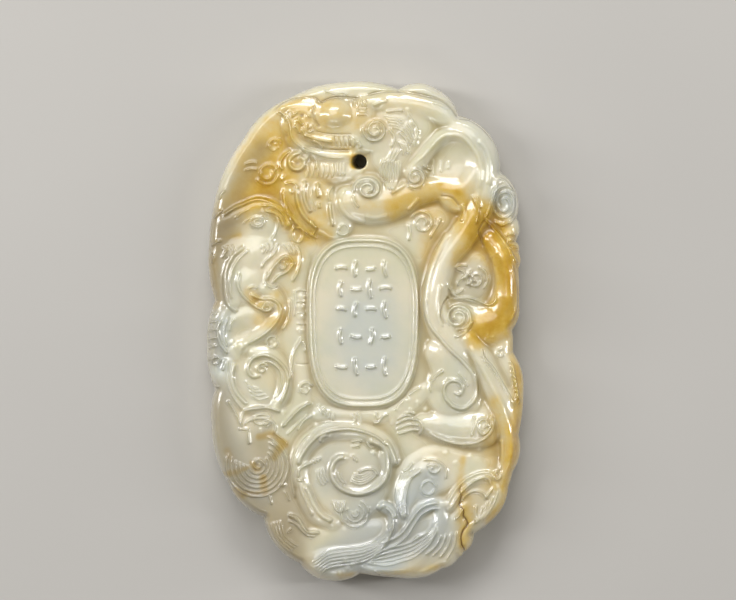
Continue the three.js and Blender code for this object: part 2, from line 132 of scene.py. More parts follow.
def bent_grid(across, along, inset):
    """A square grid bent to the outline less an inset.

    The square becomes a disc by u·√(1 − v²/2) and v·√(1 − u²/2). The disc is stretched
    to the oval. Then each point moves outwards by the cube of its reach, 0 in the middle
    and 1 at the rim, times what the lobed outline adds to the oval in that direction.
    """
    u, v = np.meshgrid(np.linspace(-1, 1, across + 1), np.linspace(-1, 1, along + 1))
    disc_x = u * np.sqrt(1 - v ** 2 / 2)
    disc_y = v * np.sqrt(1 - u ** 2 / 2)
    x, y = disc_x * WIDTH / 2, disc_y * LENGTH / 2
    angle = np.arctan2(y, x)
    reach = np.hypot(disc_x, disc_y)
    oval = 1 / np.hypot(2 * np.cos(angle) / WIDTH, 2 * np.sin(angle) / LENGTH)
    lobed = np.interp(angle, outline_angle, outline_radius, period=2 * np.pi) - inset
    scale = 1 + (lobed / oval - 1) * reach ** 3
    return np.stack([x * scale, y * scale], axis=-1)


place = bent_grid(CELLS_ACROSS, CELLS_ALONG, RIM_INSET)
print("face sheet:", place.shape[0] * place.shape[1], "points, cell in the middle, mm:",
      round(np.ptp(place[CELLS_ALONG // 2, :, 0]) / CELLS_ACROSS, 2))

# %% [markdown]
# **The cord hole in the sheet.** The real hole was drilled through the slab, a
# little askew. Cutting it with a boolean would leave ragged slivers round it. So a
# square block of cells is opened instead: its edge is pulled on to a circle, and
# the cells round it follow less and less with distance. The block's own cells are
# left out when the faces are made.

# %% Opening in a sheet
def open_hole(sheet, centre, radius, block, fade):
    """Pulls a square block's edge on to a circle.

    A point whose row or column is n cells from the middle goes to the circle of radius
    times n over half the block, in its own direction. Beyond the block this weakens to
    nothing over fade cells. Returns the block's first row and column.
    """
    row, column = np.unravel_index(np.hypot(*(sheet - centre).T).T.argmin(), sheet.shape[:2])
    rows, columns = np.indices(sheet.shape[:2])
    ring = np.maximum(abs(rows - row), abs(columns - column))
    offset = sheet - centre
    distance = np.hypot(offset[..., 0], offset[..., 1])[..., None]
    direction = offset / np.maximum(distance, 1e-6)
    round_place = centre + direction * (radius * ring / (block / 2))[..., None]
    away = np.clip((ring - block / 2) / fade, 0, 1)
    hold = ((1 - away) ** 2 * (1 + 2 * away))[..., None]
    sheet[...] = round_place * hold + sheet * (1 - hold)
    return row - block // 2, column - block // 2


HOLE = np.array([-1.0, 23.6])
HOLE_RADIUS = 1.0
HOLE_FLARE = 0.25
FACE_BLOCK = 12
FACE_FADE = 14
face_hole = open_hole(place, HOLE, HOLE_RADIUS + HOLE_FLARE, FACE_BLOCK, FACE_FADE)
print("hole in the face starts at row and column", face_hole)

# %% [markdown]
# **The carver's tools.** Every stroke below is one of a few kinds. A limb and a
# mound only raise the face, so forms that meet merge like flesh. A dish, a line
# and a bead add to what is there or take from it. All of them measure how far each
# point of the sheet is from a path or a middle, and turn that into a height. They
# could be separate bodies joined by booleans, but then every joint would show as a
# seam, which carving from one block never has.

# %% Paths
def smooth_path(points, step=0.3):
    """A Catmull-Rom curve through the points: each stretch is a cubic through its two
    ends, with the slopes of the chords between their neighbours."""
    p = np.array(points, float)
    ends = np.vstack([2 * p[0] - p[1], p, 2 * p[-1] - p[-2]])
    parts = []
    for a, b, c, d in zip(ends[:-3], ends[1:-2], ends[2:-1], ends[3:]):
        count = max(2, int(np.hypot(*(c - b)) / step) + 1)
        t = np.linspace(0, 1, count, endpoint=False)[:, None]
        parts.append(b + (c - a) * t / 2 + (a - 2.5 * b + 2 * c - d / 2) * t ** 2
                     + (1.5 * b - a / 2 - 1.5 * c + d / 2) * t ** 3)
    return np.vstack(parts + [p[-1:]])


def spiral_path(centre, outer, inner, turns, start, hand=1, flatness=1.0):
    """A spiral from the outer to the inner radius. The radius falls evenly with the turn."""
    t = np.linspace(0, 1, max(8, int(abs(turns) * 40)))
    angle = np.radians(start) + hand * 2 * np.pi * turns * t
    radius = outer + (inner - outer) * t
    x, y = radius * np.cos(angle), flatness * radius * np.sin(angle)
    return np.stack([centre[0] + x, centre[1] + y], axis=-1)


print("a spiral of 2 turns has", len(spiral_path((0, 0), 3, 1, 2, 0)), "points")

# %% Distance to a path
def measure(x, y, path, reach):
    """For the points nearer than reach to the path's box: which they are, their distance
    to the nearest place of the path, how far along it that lies from 0 to 1, and the side."""
    near = (x > path[:, 0].min() - reach) & (x < path[:, 0].max() + reach)
    near &= (y > path[:, 1].min() - reach) & (y < path[:, 1].max() + reach)
    px, py = x[near], y[near]
    best, along, side = np.full(px.shape, np.inf), np.zeros(px.shape), np.ones(px.shape)
    lengths = np.hypot(*np.diff(path, axis=0).T)
    travelled = 0
    for (ax, ay), (dx, dy), length in zip(path[:-1], np.diff(path, axis=0), lengths):
        part = np.clip(((px - ax) * dx + (py - ay) * dy) / max(length, 1e-9) ** 2, 0, 1)
        ex, ey = px - ax - part * dx, py - ay - part * dy
        square = ex ** 2 + ey ** 2
        nearer = square < best
        best = np.where(nearer, square, best)
        along = np.where(nearer, travelled + part * length, along)
        side = np.where(nearer, np.where(dx * ey > dy * ex, 1, -1), side)
        travelled += length
    return near, np.sqrt(best), along / travelled, side


corner_path = np.array([[0.0, 0.0], [3.0, 0.0], [3.0, 4.0]])
_, found, part, _ = measure(np.array([1.0]), np.array([1.0]), corner_path, 2.0)
print("beside a bent path, mm away:", found[0], "and part of the way along:", round(float(part[0]), 2))

# %% The face
SOFT = 0.28


class Face:
    """The carved sheet: the places x and y of its points, and their height z, in mm."""

    def __init__(self, sheet):
        self.x, self.y = sheet[..., 0], sheet[..., 1]
        self.z = np.full(self.x.shape, GROUND)

    def raise_to(self, near, level):
        """The smooth maximum: height + (level − height)·s + SOFT·s·(1 − s). The share s goes
        from 0 to 1 while the level climbs from SOFT under the height to SOFT over it."""
        share = np.clip(0.5 + (level - self.z[near]) / (2 * SOFT), 0, 1)
        self.z[near] += (level - self.z[near]) * share + SOFT * share * (1 - share)

    def polish(self, rounds):
        """Each point moves halfway to the mean of its four neighbours, again and again."""
        for _ in range(rounds):
            z = self.z
            mean = (z[1:-1, :-2] + z[1:-1, 2:] + z[:-2, 1:-1] + z[2:, 1:-1]) / 4
            self.z[1:-1, 1:-1] = (z[1:-1, 1:-1] + mean) / 2

    def highest(self):
        """The greatest height, in mm."""
        return round(float(self.z.max()), 2)


face = Face(place)
print("ground at", face.highest(), "mm")

# %% Broad tools: limb, mound, dish and bead
def spread(values, along):
    """The value at each part of the path, out of a few that are spread evenly along it."""
    values = np.atleast_1d(values).astype(float)
    return np.interp(along, np.linspace(0, 1, len(values)), values)


def limb(points, width, top, bluntness=0.75):
    """A rounded limb: foot + (top − foot)·(1 − q²)^bluntness, q the distance over half the width."""
    near, distance, along, _ = measure(face.x, face.y, smooth_path(points), np.max(width) / 2)
    q = np.clip(distance / (spread(width, along) / 2), 0, 1)
    face.raise_to(near, FOOT + (spread(top, along) - FOOT) * (1 - q ** 2) ** bluntness)


def inside_oval(centre, half_across, half_along, turn):
    """How far inside an oval each point is: 1 in its middle, 0 on its edge and beyond."""
    c, s = np.cos(np.radians(turn)), np.sin(np.radians(turn))
    dx, dy = face.x - centre[0], face.y - centre[1]
    q = np.hypot((dx * c + dy * s) / half_across, (dy * c - dx * s) / half_along)
    return 1 - np.clip(q, 0, 1) ** 2


def mound(centre, half_across, half_along, top, turn=0, bluntness=0.75):
    """An oval mound with the same section as a limb."""
    inside = inside_oval(centre, half_across, half_along, turn)
    face.raise_to(inside > 0, FOOT + (top - FOOT) * inside[inside > 0] ** bluntness)


def dish(centre, half_across, half_along, depth, turn=0, power=1.0):
    """A hollow: depth·(1 − q²)^power is taken away, and a negative depth adds a bead."""
    face.z -= depth * inside_oval(centre, half_across, half_along, turn) ** power


def beads(centres, radius, rise):
    """Round beads in a row: rise·(1 − q²)^1.2 is added at each centre. A negative rise is a pit."""
    for centre in centres:
        dish(centre, radius, radius, -rise, power=1.2)


print("a bead 1 mm wide covers", np.count_nonzero(inside_oval((0, 0), 0.5, 0.5, 0)), "points")

# %% [markdown]
# **Lines finer than the sheet.** A cut of the fine wheel is 0.4 mm wide, and a cell
# of the sheet is nearly 0.2 mm, so the points alone would draw it soft and stepped.
# More points would make the mesh too heavy. So a line is cut twice. The points
# carry it as height, and they also store where they lie across it, from −1 at one
# edge to 1 at the other. That number changes evenly over a cell, so the material
# can draw the line again with a crisp section. A point can hold one line in each
# channel, and the channels let lines run close together and cross.

# %% Fine tools: line, scroll and fan
CHANNELS = 5
OFF_LINE = 2.0
STILL_DRAWN = 1.3
SHARP_PART = 0.9
LINE_MARGIN = 0.4
MESH_WIDENING = 0.1
line_side = np.full((CHANNELS,) + face.x.shape, OFF_LINE)
line_rise = np.zeros((CHANNELS,) + face.x.shape)


def keep_sharp(near, q, rise):
    """Stores the signed q of a line and its rise in the channel that is emptiest around it."""
    numbers = np.flatnonzero(near)
    close = abs(q) < OFF_LINE
    drawn = abs(q) < STILL_DRAWN
    taken = [np.count_nonzero(channel.flat[numbers[close]]) for channel in line_rise]
    channel = int(np.argmin(taken))
    line_side[channel].flat[numbers[close]] = q[close]
    line_rise[channel].flat[numbers[drawn]] = rise[drawn]


cut_lengths = []


def tally(name):
    """Prints how many lines were cut since the last tally, and their length together."""
    print(f"{name}: {len(cut_lengths)} lines, {sum(cut_lengths):.0f} mm in all")
    cut_lengths.clear()


def trace(path, width, rise, fade, sharp=SHARP_PART):
    """Adds rise·(1 − q²)^1.5 along a path, and less towards its two ends. The points carry the
    rise as height, a little wider than the line. The material draws the share sharp of it again."""
    near, distance, along, side = measure(face.x, face.y, path, np.max(width) + LINE_MARGIN)
    half_width = spread(width, along) / 2
    ends = np.clip(np.minimum(along, 1 - along) / fade, 0, 1)
    full = spread(rise, along) * ends * (2 - ends)
    mesh_q = np.clip(distance / (half_width + MESH_WIDENING), 0, 1)
    face.z[near] += full * (1 - mesh_q ** 2) ** 1.5
    keep_sharp(near, side * distance / half_width, full * sharp)
    cut_lengths.append(float(np.hypot(*np.diff(path, axis=0).T).sum()))


def line(points, width, rise, fade=0.07):
    """One cut of the fine wheel: a groove where rise is negative, a raised line where it is positive."""
    trace(smooth_path(points), width, rise, fade)


def scroll(centre, outer, inner, turns, start, hand=1, width=0.45, rise=0.25, flatness=1.0):
    """A line along a spiral. Equal radii make it an open ring, and flatness is its height over its width."""
    trace(spiral_path(centre, outer, inner, turns, start, hand, flatness), width, rise, 0.06)


def fan(first, last, count, width=0.4, rise=0.16):
    """A row of lines that turns evenly from the first to the last, as hair and water do. Each
    point is first + (last − first)·share, with shares that are spread evenly from 0 to 1."""
    first, last = np.array(first), np.array(last)
    for share in np.linspace(0, 1, count):
        line(first + (last - first) * share, width, rise, fade=0.12)


print("channels for lines:", CHANNELS, "each of", line_rise[0].size, "points")

# %% [markdown]
# **The plain border and the scalloped rim.** At the left and along the top the
# carver left a smooth band that stands a little over the sunk ground. Clouds and
# waves swell out of the rim as lobes, and those are broad flat-topped mounds.

# %% Border and rim lobes
BORDER_RISE = 0.3
BORDER_LEFT = -9.2
BORDER_TOP = 28.9
BORDER_SLOPE = 3.0
left_of = (BORDER_LEFT - face.x) / BORDER_SLOPE
above = (face.y - BORDER_TOP) / BORDER_SLOPE
face.z += BORDER_RISE * np.clip(np.maximum(left_of, above), 0, 1)
mound((19.5, 18.4), 2.5, 4.4, LOW, turn=8)
mound((20.2, 13.9), 1.6, 2.6, LOBE, turn=12)
mound((20.5, 10.5), 1.4, 2.2, LOBE)
mound((-21, -2.1), 2.2, 6.4, LOBE)
mound((-16.2, -16.9), 5.6, 7.2, LOW, turn=25, bluntness=0.4)
mound((-11.5, -28.1), 4.6, 5.2, LOW, turn=-20, bluntness=0.4)
mound((17, -23.4), 4.6, 6.2, LOW, turn=-20, bluntness=0.4)
mound((19.6, -6.8), 3.0, 6.4, LOBE, turn=12, bluntness=0.4)
print("rim lobes, highest", face.highest())

# %% [markdown]
# **The masses.** A carver first leaves low flat masses where a group of figures
# will stand, and cuts the figures out of them. They keep the gaps between the
# figures shallow, as they are on the real piece.

# %% Masses under the figures
limb([(-9.5, 29), (-5.7, 28.6), (-1.9, 28.2), (2, 27.5)], [4.6, 7.4, 7.2, 5.6], CURL, bluntness=0.3)
mound((5.1, 27), 5.0, 8.0, CURL, turn=10, bluntness=0.35)
limb([(-10.1, 23.3), (-5.7, 22.6), (-1.9, 22.3)], [4.6, 4.2, 3.4], FIELD, bluntness=0.3)
limb([(-9.5, 21.9), (-7.5, 17.7), (-4.3, 15.3)], [5.6, 7.6, 5.4], MID, bluntness=0.3)
mound((-15.9, 8.8), 4.8, 5.8, MID, turn=-15, bluntness=0.35)
mound((-16.6, 0.4), 5.2, 3.6, MID, turn=30, bluntness=0.3)
mound((-15.4, -6.8), 4.8, 4.8, FIELD, bluntness=0.3)
mound((-15.1, 15.3), 5.0, 3.2, FIELD, turn=10, bluntness=0.35)
mound((-11.7, 8.8), 2.8, 3.4, FIELD, bluntness=0.35)
limb([(-11.3, -11.7), (-9.2, -9.6), (-10.3, 1.6), (-9.8, 9.7)], [3.0, 3.0, 3.4, 4.0], LOBE, bluntness=0.3)
limb([(-9.2, -30.4), (-2.9, -30.4), (4.8, -29.9), (11.1, -27.8)], [6.0, 8.0, 8.4, 6.0], FIELD, bluntness=0.3)
limb([(5.5, -25.7), (6.9, -21.5), (9.7, -19.2), (14.6, -19.4)], [6.0, 7.0, 6.6, 5.0], LOW, bluntness=0.3)
mound((-2.2, -19.2), 6.4, 5.6, LOW, bluntness=0.3)
mound((8.7, 15.3), 3.2, 2.8, LOBE, bluntness=0.4)
mound((14.6, 7.9), 3.4, 3.2, LOBE, bluntness=0.3)
limb([(4.1, -11.3), (6.9, -9.4), (8.7, -8)], [2.6, 2.8, 2.0], LOBE, bluntness=0.35)
limb([(-6.4, -11.6), (-2.2, -12), (2.3, -11.7)], [2.2, 2.4, 2.2], LOBE, bluntness=0.35)
mound((13.7, -7.4), 5.2, 6.2, CURL, turn=-20, bluntness=0.35)
mound((12.5, -13.1), 4.8, 2.8, MID, bluntness=0.35)
mound((-2.9, -20.3), 6.6, 6.4, MID, bluntness=0.3)
print("masses, highest", face.highest())

# %% [markdown]
# **The large dragon.** Its body is the highest and smoothest form: one rounded
# limb after another, each a dome across a smooth curve. Joining spheres would leave
# it lumpy, where a path with a few widths and levels stays fair. The flank is
# dished, which catches a soft ring of light.

# %% Dragon: back, shoulder and foreleg
limb([(-0.5, 31.8), (4.1, 31.8), (8.3, 31.1), (11.4, 29.7), (13.5, 27.6)], [2.4, 3.4, 4.0, 4.4, 4.2],
     CREATURE)
mound((14, 23.4), 5.2, 7.2, LIMB, turn=-8, bluntness=0.3)
limb([(12.5, 28.6), (15.1, 27), (16.8, 25.1), (17.2, 22.6), (16.8, 19.5), (16, 16.4), (14.6, 13.6)],
     [2.8, 4.0, 4.2, 4.0, 3.8, 3.6, 3.0], [CREATURE, LIMB, LIMB, LIMB, LIMB, CREATURE, CREATURE])
limb([(6.2, 22), (7.6, 23.7), (9.4, 25.8), (11.4, 27.2), (13.5, 27), (15.1, 25.4), (16, 22.6), (15.7, 19.5)],
     [2.4, 3.0, 3.0, 3.0, 3.0, 2.6, 2.6, 2.6], LIMB)
dish((11.8, 23.4), 3.3, 3.5, 1.0, turn=-20, power=0.7)
limb([(15.1, 21.7), (13.5, 19.8), (10.4, 19.9), (7.3, 19.5), (4.5, 18.5), (2, 17.9), (-0.5, 17.8),
      (-2.1, 17.9)], [3.8, 4.2, 3.8, 4.4, 5.4, 6.2, 6.4, 5.4],
     [LIMB, LIMB, CREATURE, LIMB, LIMB, LIMB, LIMB, LIMB], bluntness=0.65)
mound((7, 21.4), 1.7, 1.7, CREST)
mound((0.3, 19.5), 2.8, 2.6, CREST)
print("dragon's front, highest", face.highest())

# %% Dragon: long body, haunch, hind leg and foot
limb([(15.7, 18.6), (14.9, 15.8), (13.2, 12.9), (11.2, 10.2), (10.1, 7), (9.5, 3.7), (10.5, 0.4),
      (12.5, -2.6), (14.3, -5.7)], [3.6, 4.2, 4.4, 4.2, 4.1, 4.1, 4.6, 5.6, 6.4], LIMB)
limb([(13.5, 1.3), (16, 0.7), (18.2, 1.3), (19.6, 3.5), (19.9, 6.6), (19.2, 10), (17.4, 12.8)],
     [5.4, 6.0, 6.0, 5.0, 4.2, 3.8, 2.8], [CURL, CREATURE, CREATURE, LIMB, LIMB, LIMB, CURL])
limb([(11.2, -2.9), (12.5, -5.4), (12.6, -8.2), (12.1, -9.6)], [6.2, 7.6, 7.8, 6.4],
     [LIMB, LIMB, LIMB, CREATURE], bluntness=0.6)
limb([(14.3, -1), (15.7, -4), (17.2, -7.1), (18.8, -10.3), (19.9, -14.1), (20, -17.8), (18.9, -20.8)],
     [3.6, 4.6, 4.8, 4.4, 3.6, 2.8, 1.8], [LIMB, LIMB, LIMB, LIMB, LIMB - 0.1, CREATURE, LOW])
limb([(18.6, -9.9), (17.4, -13), (14.3, -13.6), (11.1, -13.3), (8.1, -12.9)],
     [5.6, 5.6, 5.6, 4.8, 3.0], [LIMB, LIMB, LIMB, CREATURE, CREATURE], bluntness=0.65)
# A valley parts the haunch from the tail, and a narrow crest rides on the tail and on the amber limb
trace(smooth_path([(14, -2.4), (15.3, -5.4), (16.5, -8.8), (17.7, -12.2), (18.2, -15.8)]),
      [1.8, 2.6, 2.8, 2.4, 1.6], -0.45, fade=0.2, sharp=0)
trace(smooth_path([(14.9, -2.1), (16, -4.9), (17.2, -7.8), (18.5, -10.6), (19.5, -13.8), (19.9, -16.9),
       (20, -20)]), [1.4, 2.2, 2.4, 2.2, 2.0, 1.6, 1.2], 0.36, fade=0.15, sharp=0)
trace(smooth_path([(18.4, 12.3), (19.2, 10.1), (19.8, 7.2), (19.8, 4.4), (19.3, 2.3)]),
      [1.2, 1.8, 2.0, 1.8, 1.4], 0.28, fade=0.2, sharp=0)
print("dragon's body, highest", face.highest())

# %% Dragon: head
limb([(-6.1, 30.1), (-8.5, 30.7), (-11.5, 31.4)], [4.6, 3.6, 2.0], [CREATURE, CURL, MID])
limb([(-9.5, 29.3), (-8.8, 27.9), (-6.7, 26.9), (-3.9, 26.5), (-1.4, 26.5)], [2.2, 2.4, 2.4, 2.4, 2.2],
     CREATURE)
limb([(-10.1, 28.4), (-9.9, 26.5), (-7.8, 25.2), (-4.7, 24.5), (-1.9, 24.4)], [1.8, 2.4, 2.4, 2.4, 2.0], CURL)
mound((-4.3, 30.1), 3.4, 2.7, CREST, bluntness=1.0)
mound((-0.4, 30.1), 2.6, 2.8, CREATURE)
mound((1.3, 28), 2.4, 2.2, LIMB)
print("dragon's head, highest", face.highest())

# %% Masses of the clouds under the jaw
mound((-9.5, 23.5), 2.4, 2.3, CURL)
limb([(-8.1, 22.4), (-5, 22.4), (-2.2, 21.9)], [2.8, 2.8, 2.0], MID)
limb([(-9.2, 19.8), (-8.8, 17.2), (-7.3, 15.3), (-5, 14.4)], [2.6, 3.0, 3.0, 2.4], MID)
limb([(-6.7, 20), (-5, 18.6), (-4.6, 15.8)], [2.4, 2.8, 2.4], MID)
print("clouds and bands under the jaw, highest", face.highest())

# %% [markdown]
# **The small dragon, the ringed creature and the waves.** They are lower and
# busier than the large dragon: short limbs that curl into each other, and at the
# foot long waves that break to the left and roll up to the right. The last call
# polishes all forms together, as the carver does before the fine lines are cut.

# %% Small dragon
limb([(-19.7, 15.3), (-16.9, 16.7), (-14.5, 17.5), (-12.3, 16.7), (-10.9, 14.7)], [2.8, 3.4, 3.2, 2.6, 2.0],
     [FIELD, MID, CURL, CURL, MID])
mound((-14.5, 15), 2.2, 1.6, MID)
mound((-15.5, 10.7), 3.4, 2.8, CREATURE, turn=40)
mound((-16.5, 6.7), 4.0, 3.4, CREATURE, turn=60)
limb([(-17.9, 9.7), (-18.7, 6.9), (-18.3, 4.1)], [2.8, 3.0, 2.6], CURL)
limb([(-14, 6), (-12.6, 4.6), (-12.2, 2.7), (-13.4, 0.6), (-15.8, -1.2), (-17.9, -2.4)],
     [2.8, 2.8, 2.6, 2.6, 2.4, 2.4], [CREATURE, CREATURE, CREATURE, CREATURE, CURL, CURL])
mound((-13.8, 3.4), 2.0, 1.8, CREATURE)
limb([(-14, 8.3), (-12.4, 9.3), (-11.2, 9.4)], [2.4, 2.6, 2.2], MID)
limb([(-19.3, 3), (-20.3, 0.4), (-20, -1.9), (-18.2, -3.2)], [1.8, 2.2, 2.4, 2.4], MID)
dish((-17.1, 0.2), 2.6, 1.7, 0.5, turn=28)
limb([(-19, -4.3), (-19.2, -6.8), (-17.6, -9.6), (-15.1, -10.8)], [2.4, 2.8, 2.8, 2.4], MID)
limb([(-15.5, -2.9), (-13.4, -3.2), (-11.6, -5.2), (-11.5, -8.5), (-12.6, -10.5)],
     [2.6, 2.6, 2.4, 2.4, 2.0], CURL)
print("small dragon, highest", face.highest())

# %% Ringed creature
limb([(-8.9, -20.6), (-9.1, -17.8), (-8, -15.7), (-5.7, -14.1), (-2.9, -13.8), (0.3, -14.3), (2.7, -15.7),
      (3.8, -18)], [3.0, 3.2, 3.2, 3.2, 3.2, 3.0, 2.8, 2.0], [CURL, CREATURE, CREATURE, CREATURE, MID])
mound((-0.5, -18.9), 4.0, 3.4, MID, bluntness=0.35)
limb([(-2.9, -17.6), (-4.3, -18.3), (-4.5, -20.3), (-3.1, -21.8), (-0.8, -22.2), (1.4, -21.5), (2.8, -19.6),
      (2.5, -17.3)], 1.8, CREATURE)
limb([(-8.7, -20.8), (-8.2, -23.4), (-6.7, -25.6), (-4.5, -26.7)], [2.4, 2.8, 3.0, 2.4],
     [CURL, CREATURE, MID])
print("ringed creature, highest", face.highest())

# %% Waves
limb([(-9.2, -32), (-5, -31.5), (-1.1, -31.1), (2, -29.9), (3.8, -27.6), (3.8, -25.3), (2.5, -24.3)],
     [3.6, 4.6, 4.2, 4.0, 3.4, 2.6, 1.8], [FIELD, CURL, CURL, CURL, CURL])
limb([(0.9, -33.2), (4.1, -32.7), (6.9, -31.5), (9, -29.2), (10.4, -26.4), (10.4, -24.2)],
     [2.6, 3.4, 3.6, 3.6, 3.2, 2.0], MID)
limb([(3.4, -29.9), (5.5, -27.8), (7, -25.3), (9, -24.1), (10.9, -24.1)], [3.0, 3.0, 2.8, 2.4, 1.8], MID)
limb([(5.2, -26.4), (5.5, -23.6), (6.5, -20.8), (8.1, -19.2)], [2.8, 3.4, 3.6, 2.6], MID)
mound((9.5, -19.2), 2.0, 1.8, MID)
mound((-2.2, -32.5), 2.2, 1.9, MID)
limb([(11.8, -24.2), (13.2, -22), (15.1, -20.6), (17.4, -20.3), (18.1, -22)], [2.2, 2.4, 2.4, 2.2, 1.4], MID)
limb([(11.8, -29.2), (12.5, -26.4), (13.7, -24.3)], [2.0, 2.6, 1.8], FIELD)
face.polish(3)
print("all forms polished, highest", face.highest())

# %% [markdown]
# **The fine lines.** On the polished forms the carver cut the detail with small
# wheels. A raised line is left between two cuts and takes a bright edge, a groove
# is one cut, and a fan is a row of lines that turns evenly from its first to its
# last. A texture could show them from above, but the light wouldn't turn on them.
#
# **The border** comes first. Long shallow grooves part the band at the top into
# folds, and short hooks run in from the left rim.

# %% Fine lines: border
line([(0.2, 32.8), (1.3, 33.2), (2.7, 33.4), (4.8, 33.4), (6.5, 33.2), (8.3, 32.8), (10.4, 32.2),
      (11.8, 31.2), (12.9, 29.7)], 0.5, -0.2)
line([(12.9, 29.6), (14.6, 29.4), (16.3, 28.2), (17.8, 26.5)], 0.4, -0.15)
line([(-12.9, 30.7), (-11.7, 31.8), (-10.6, 32.4), (-9.2, 32.6), (-7.1, 32.5), (-6.3, 31.9), (-5, 32.4),
      (-3.6, 32.6), (-0.5, 32.4)], 0.4, -0.16)
line([(-5.7, 33.5), (-4.3, 33.1), (-3.2, 33.2), (-2.5, 32.8)], 0.4, 0.14)
scroll((-12.7, 25.8), 1.0, 0.3, 1.2, 30, rise=0.1)
fan([(-16.8, 23.3), (-15.9, 23.5), (-15.2, 23.4)], [(-16.8, 22.4), (-15.8, 22.6), (-15.1, 22.4)], 2,
    rise=0.12)
scroll((-13.6, 22), 1.7, 0.5, 1.6, 200, width=0.5, rise=0.12)
line([(-13.1, 21.7), (-12.6, 22.3), (-12, 23.1)], 0.35, 0.12)
line([(-11.7, 21), (-11.3, 21.6)], 0.35, 0.15)
line([(-20.4, 18.4), (-20.1, 19.2), (-19.6, 19.6)], 0.45, 0.2)
line([(-21.1, 15.7), (-20.6, 16.4), (-19.9, 16.8)], 0.45, 0.2)
line([(-21.5, 11.9), (-21, 12.3), (-20.1, 12.6)], 0.45, 0.2)
line([(-19.9, 10.2), (-19.6, 10.9), (-19.2, 11.4)], 0.45, 0.2)
line([(-21.5, 11.1), (-21.1, 10.4), (-21.4, 9.5)], 0.4, 0.15)
tally("border")

# %% [markdown]
# **Back, flank and mane.** A raised line runs round the dished flank, and a spiral
# marks the shoulder. The mane is made of locks of fine strands. To place each strand
# by hand would be long and uneven, so a fan takes the first and the last strand of a
# lock, and the ones between are worked out.

# %% Fine lines: dragon's back, flank and mane
line([(1, 31.4), (2, 31.8), (3, 32.1)], 0.6, 0.15)
line([(9.3, 31.8), (10.4, 31.5), (11.6, 30.8)], 0.6, 0.12)
line([(15.7, 26.6), (16.7, 25.4), (17.2, 23.7), (17.2, 21.9), (17.1, 20.3)], 0.9, 0.12)
line([(5.5, 22.1), (6.6, 23.4), (8.1, 24.5), (9.3, 25.8), (10.4, 27), (11.6, 27.4), (13.2, 27.2),
      (14.6, 25.9), (15.6, 24.4), (16, 22.6), (15.8, 19.8)], 0.9, 0.15)
scroll((6.9, 21.4), 1.5, 0.2, 2.0, -150, rise=0.32)
line([(7.9, 23.1), (8.4, 22.8), (9.1, 22.4)], 0.4, 0.18)
fan([(9.4, 24), (9.4, 22.8), (9.5, 21.7)], [(11.5, 23.7), (11.5, 23), (11.4, 22.6)], 3, rise=0.1)
fan([(2.5, 30), (3.9, 29.8), (5.3, 29.3)], [(3.4, 28.3), (4.5, 28.2), (5.3, 27.6)], 5, rise=0.1)
fan([(4.6, 27.7), (5.3, 27), (6.2, 25.8)], [(5.6, 29), (6.3, 28), (6.9, 26.6)], 4, rise=0.2)
fan([(4.4, 26.6), (4.9, 25.8), (5.2, 24.5)], [(5.5, 26.3), (5.9, 25.5), (6.2, 24.7)], 4, rise=0.2)
fan([(3.8, 25.4), (3.4, 24.5), (2.8, 23.5)], [(4.8, 25.2), (4.2, 24.2), (3.7, 23.4)], 3, rise=0.16)
fan([(2.4, 24), (2, 22.3), (2.7, 20.6), (3.5, 19.6)], [(4.6, 23.7), (4.6, 22.3), (4.4, 20.9), (3.9, 19.6)],
    7, rise=0.2)
line([(2.8, 30.5), (4.1, 30.7), (5.2, 30.7)], 0.5, 0.2)
line([(5.8, 30.4), (6.6, 29.1), (7.2, 28), (7, 26.8), (6.6, 25.8)], 0.45, 0.2)
line([(3.2, 28.2), (3.9, 27.2), (3.9, 26.3), (3.5, 25.6)], 0.5, 0.22)
beads([(5.8, 30.7), (6.5, 29), (7.2, 28), (7.2, 27), (7, 26.2)], 0.5, 0.2)
tally("back, flank and mane")

# %% [markdown]
# **The head.** It has the finest cuts of all: brows, eye, nostril, teeth and lips are
# short lines and small pits, and one long line runs round the snout and along the
# jaw. Their rises stay small, because on a polished stone even a low line flashes.

# %% Fine lines: dragon's head
scroll((1.3, 28), 1.75, 0.3, 1.9, 160, rise=0.32)
fan([(-1.7, 32.2), (-1.6, 31.8), (-1.5, 31.2)], [(-0.1, 32.2), (0, 31.8), (0, 31.2)], 4, width=0.32,
    rise=0.18)
fan([(-1.2, 31), (-0.5, 30.9), (0.2, 31)], [(-1.2, 30.1), (-0.5, 30.1), (0.2, 30.1)], 3, width=0.32,
    rise=0.16)
line([(-8.5, 27.3), (-7.5, 26.9), (-6.4, 26.6), (-4.6, 26.3)], 0.5, 0.28)
line([(-7, 27.9), (-5.7, 27.5), (-3.9, 27.4), (-1.9, 27.4)], 0.4, -0.1)
fan([(-4.3, 27.2), (-4.2, 26.5), (-4, 25.6)], [(-2.4, 27.2), (-2.3, 26.5), (-2.1, 25.6)], 4, width=0.32,
    rise=-0.16)
fan([(-2.2, 26.9), (-1.7, 26.5), (-1.8, 25.6)], [(-1.2, 26.5), (-0.7, 25.9), (-0.8, 25.5)], 2, width=0.6,
    rise=0.2)
line([(-7.5, 26.5), (-6.7, 26.2), (-5.9, 25.5)], 0.5, 0.3)
line([(-8.5, 25.8), (-7.1, 25.5), (-5, 25.2), (-2.2, 25.2)], 0.5, -0.12)
beads([(-8.9, 30)], 0.35, -0.45)
beads([(-7.7, 30.9)], 0.25, -0.25)
scroll((-7.7, 28.2), 0.65, 0.15, 1.2, 120, rise=0.25)
line([(-10.9, 30.7), (-10.5, 30.4), (-10.1, 29.8)], 0.45, 0.25)
line([(-10.1, 30.1), (-9.6, 30.4), (-9.4, 30.5)], 0.4, 0.2)
line([(-9.5, 29.6), (-9.2, 29.1), (-8.8, 28.7)], 0.5, 0.3)
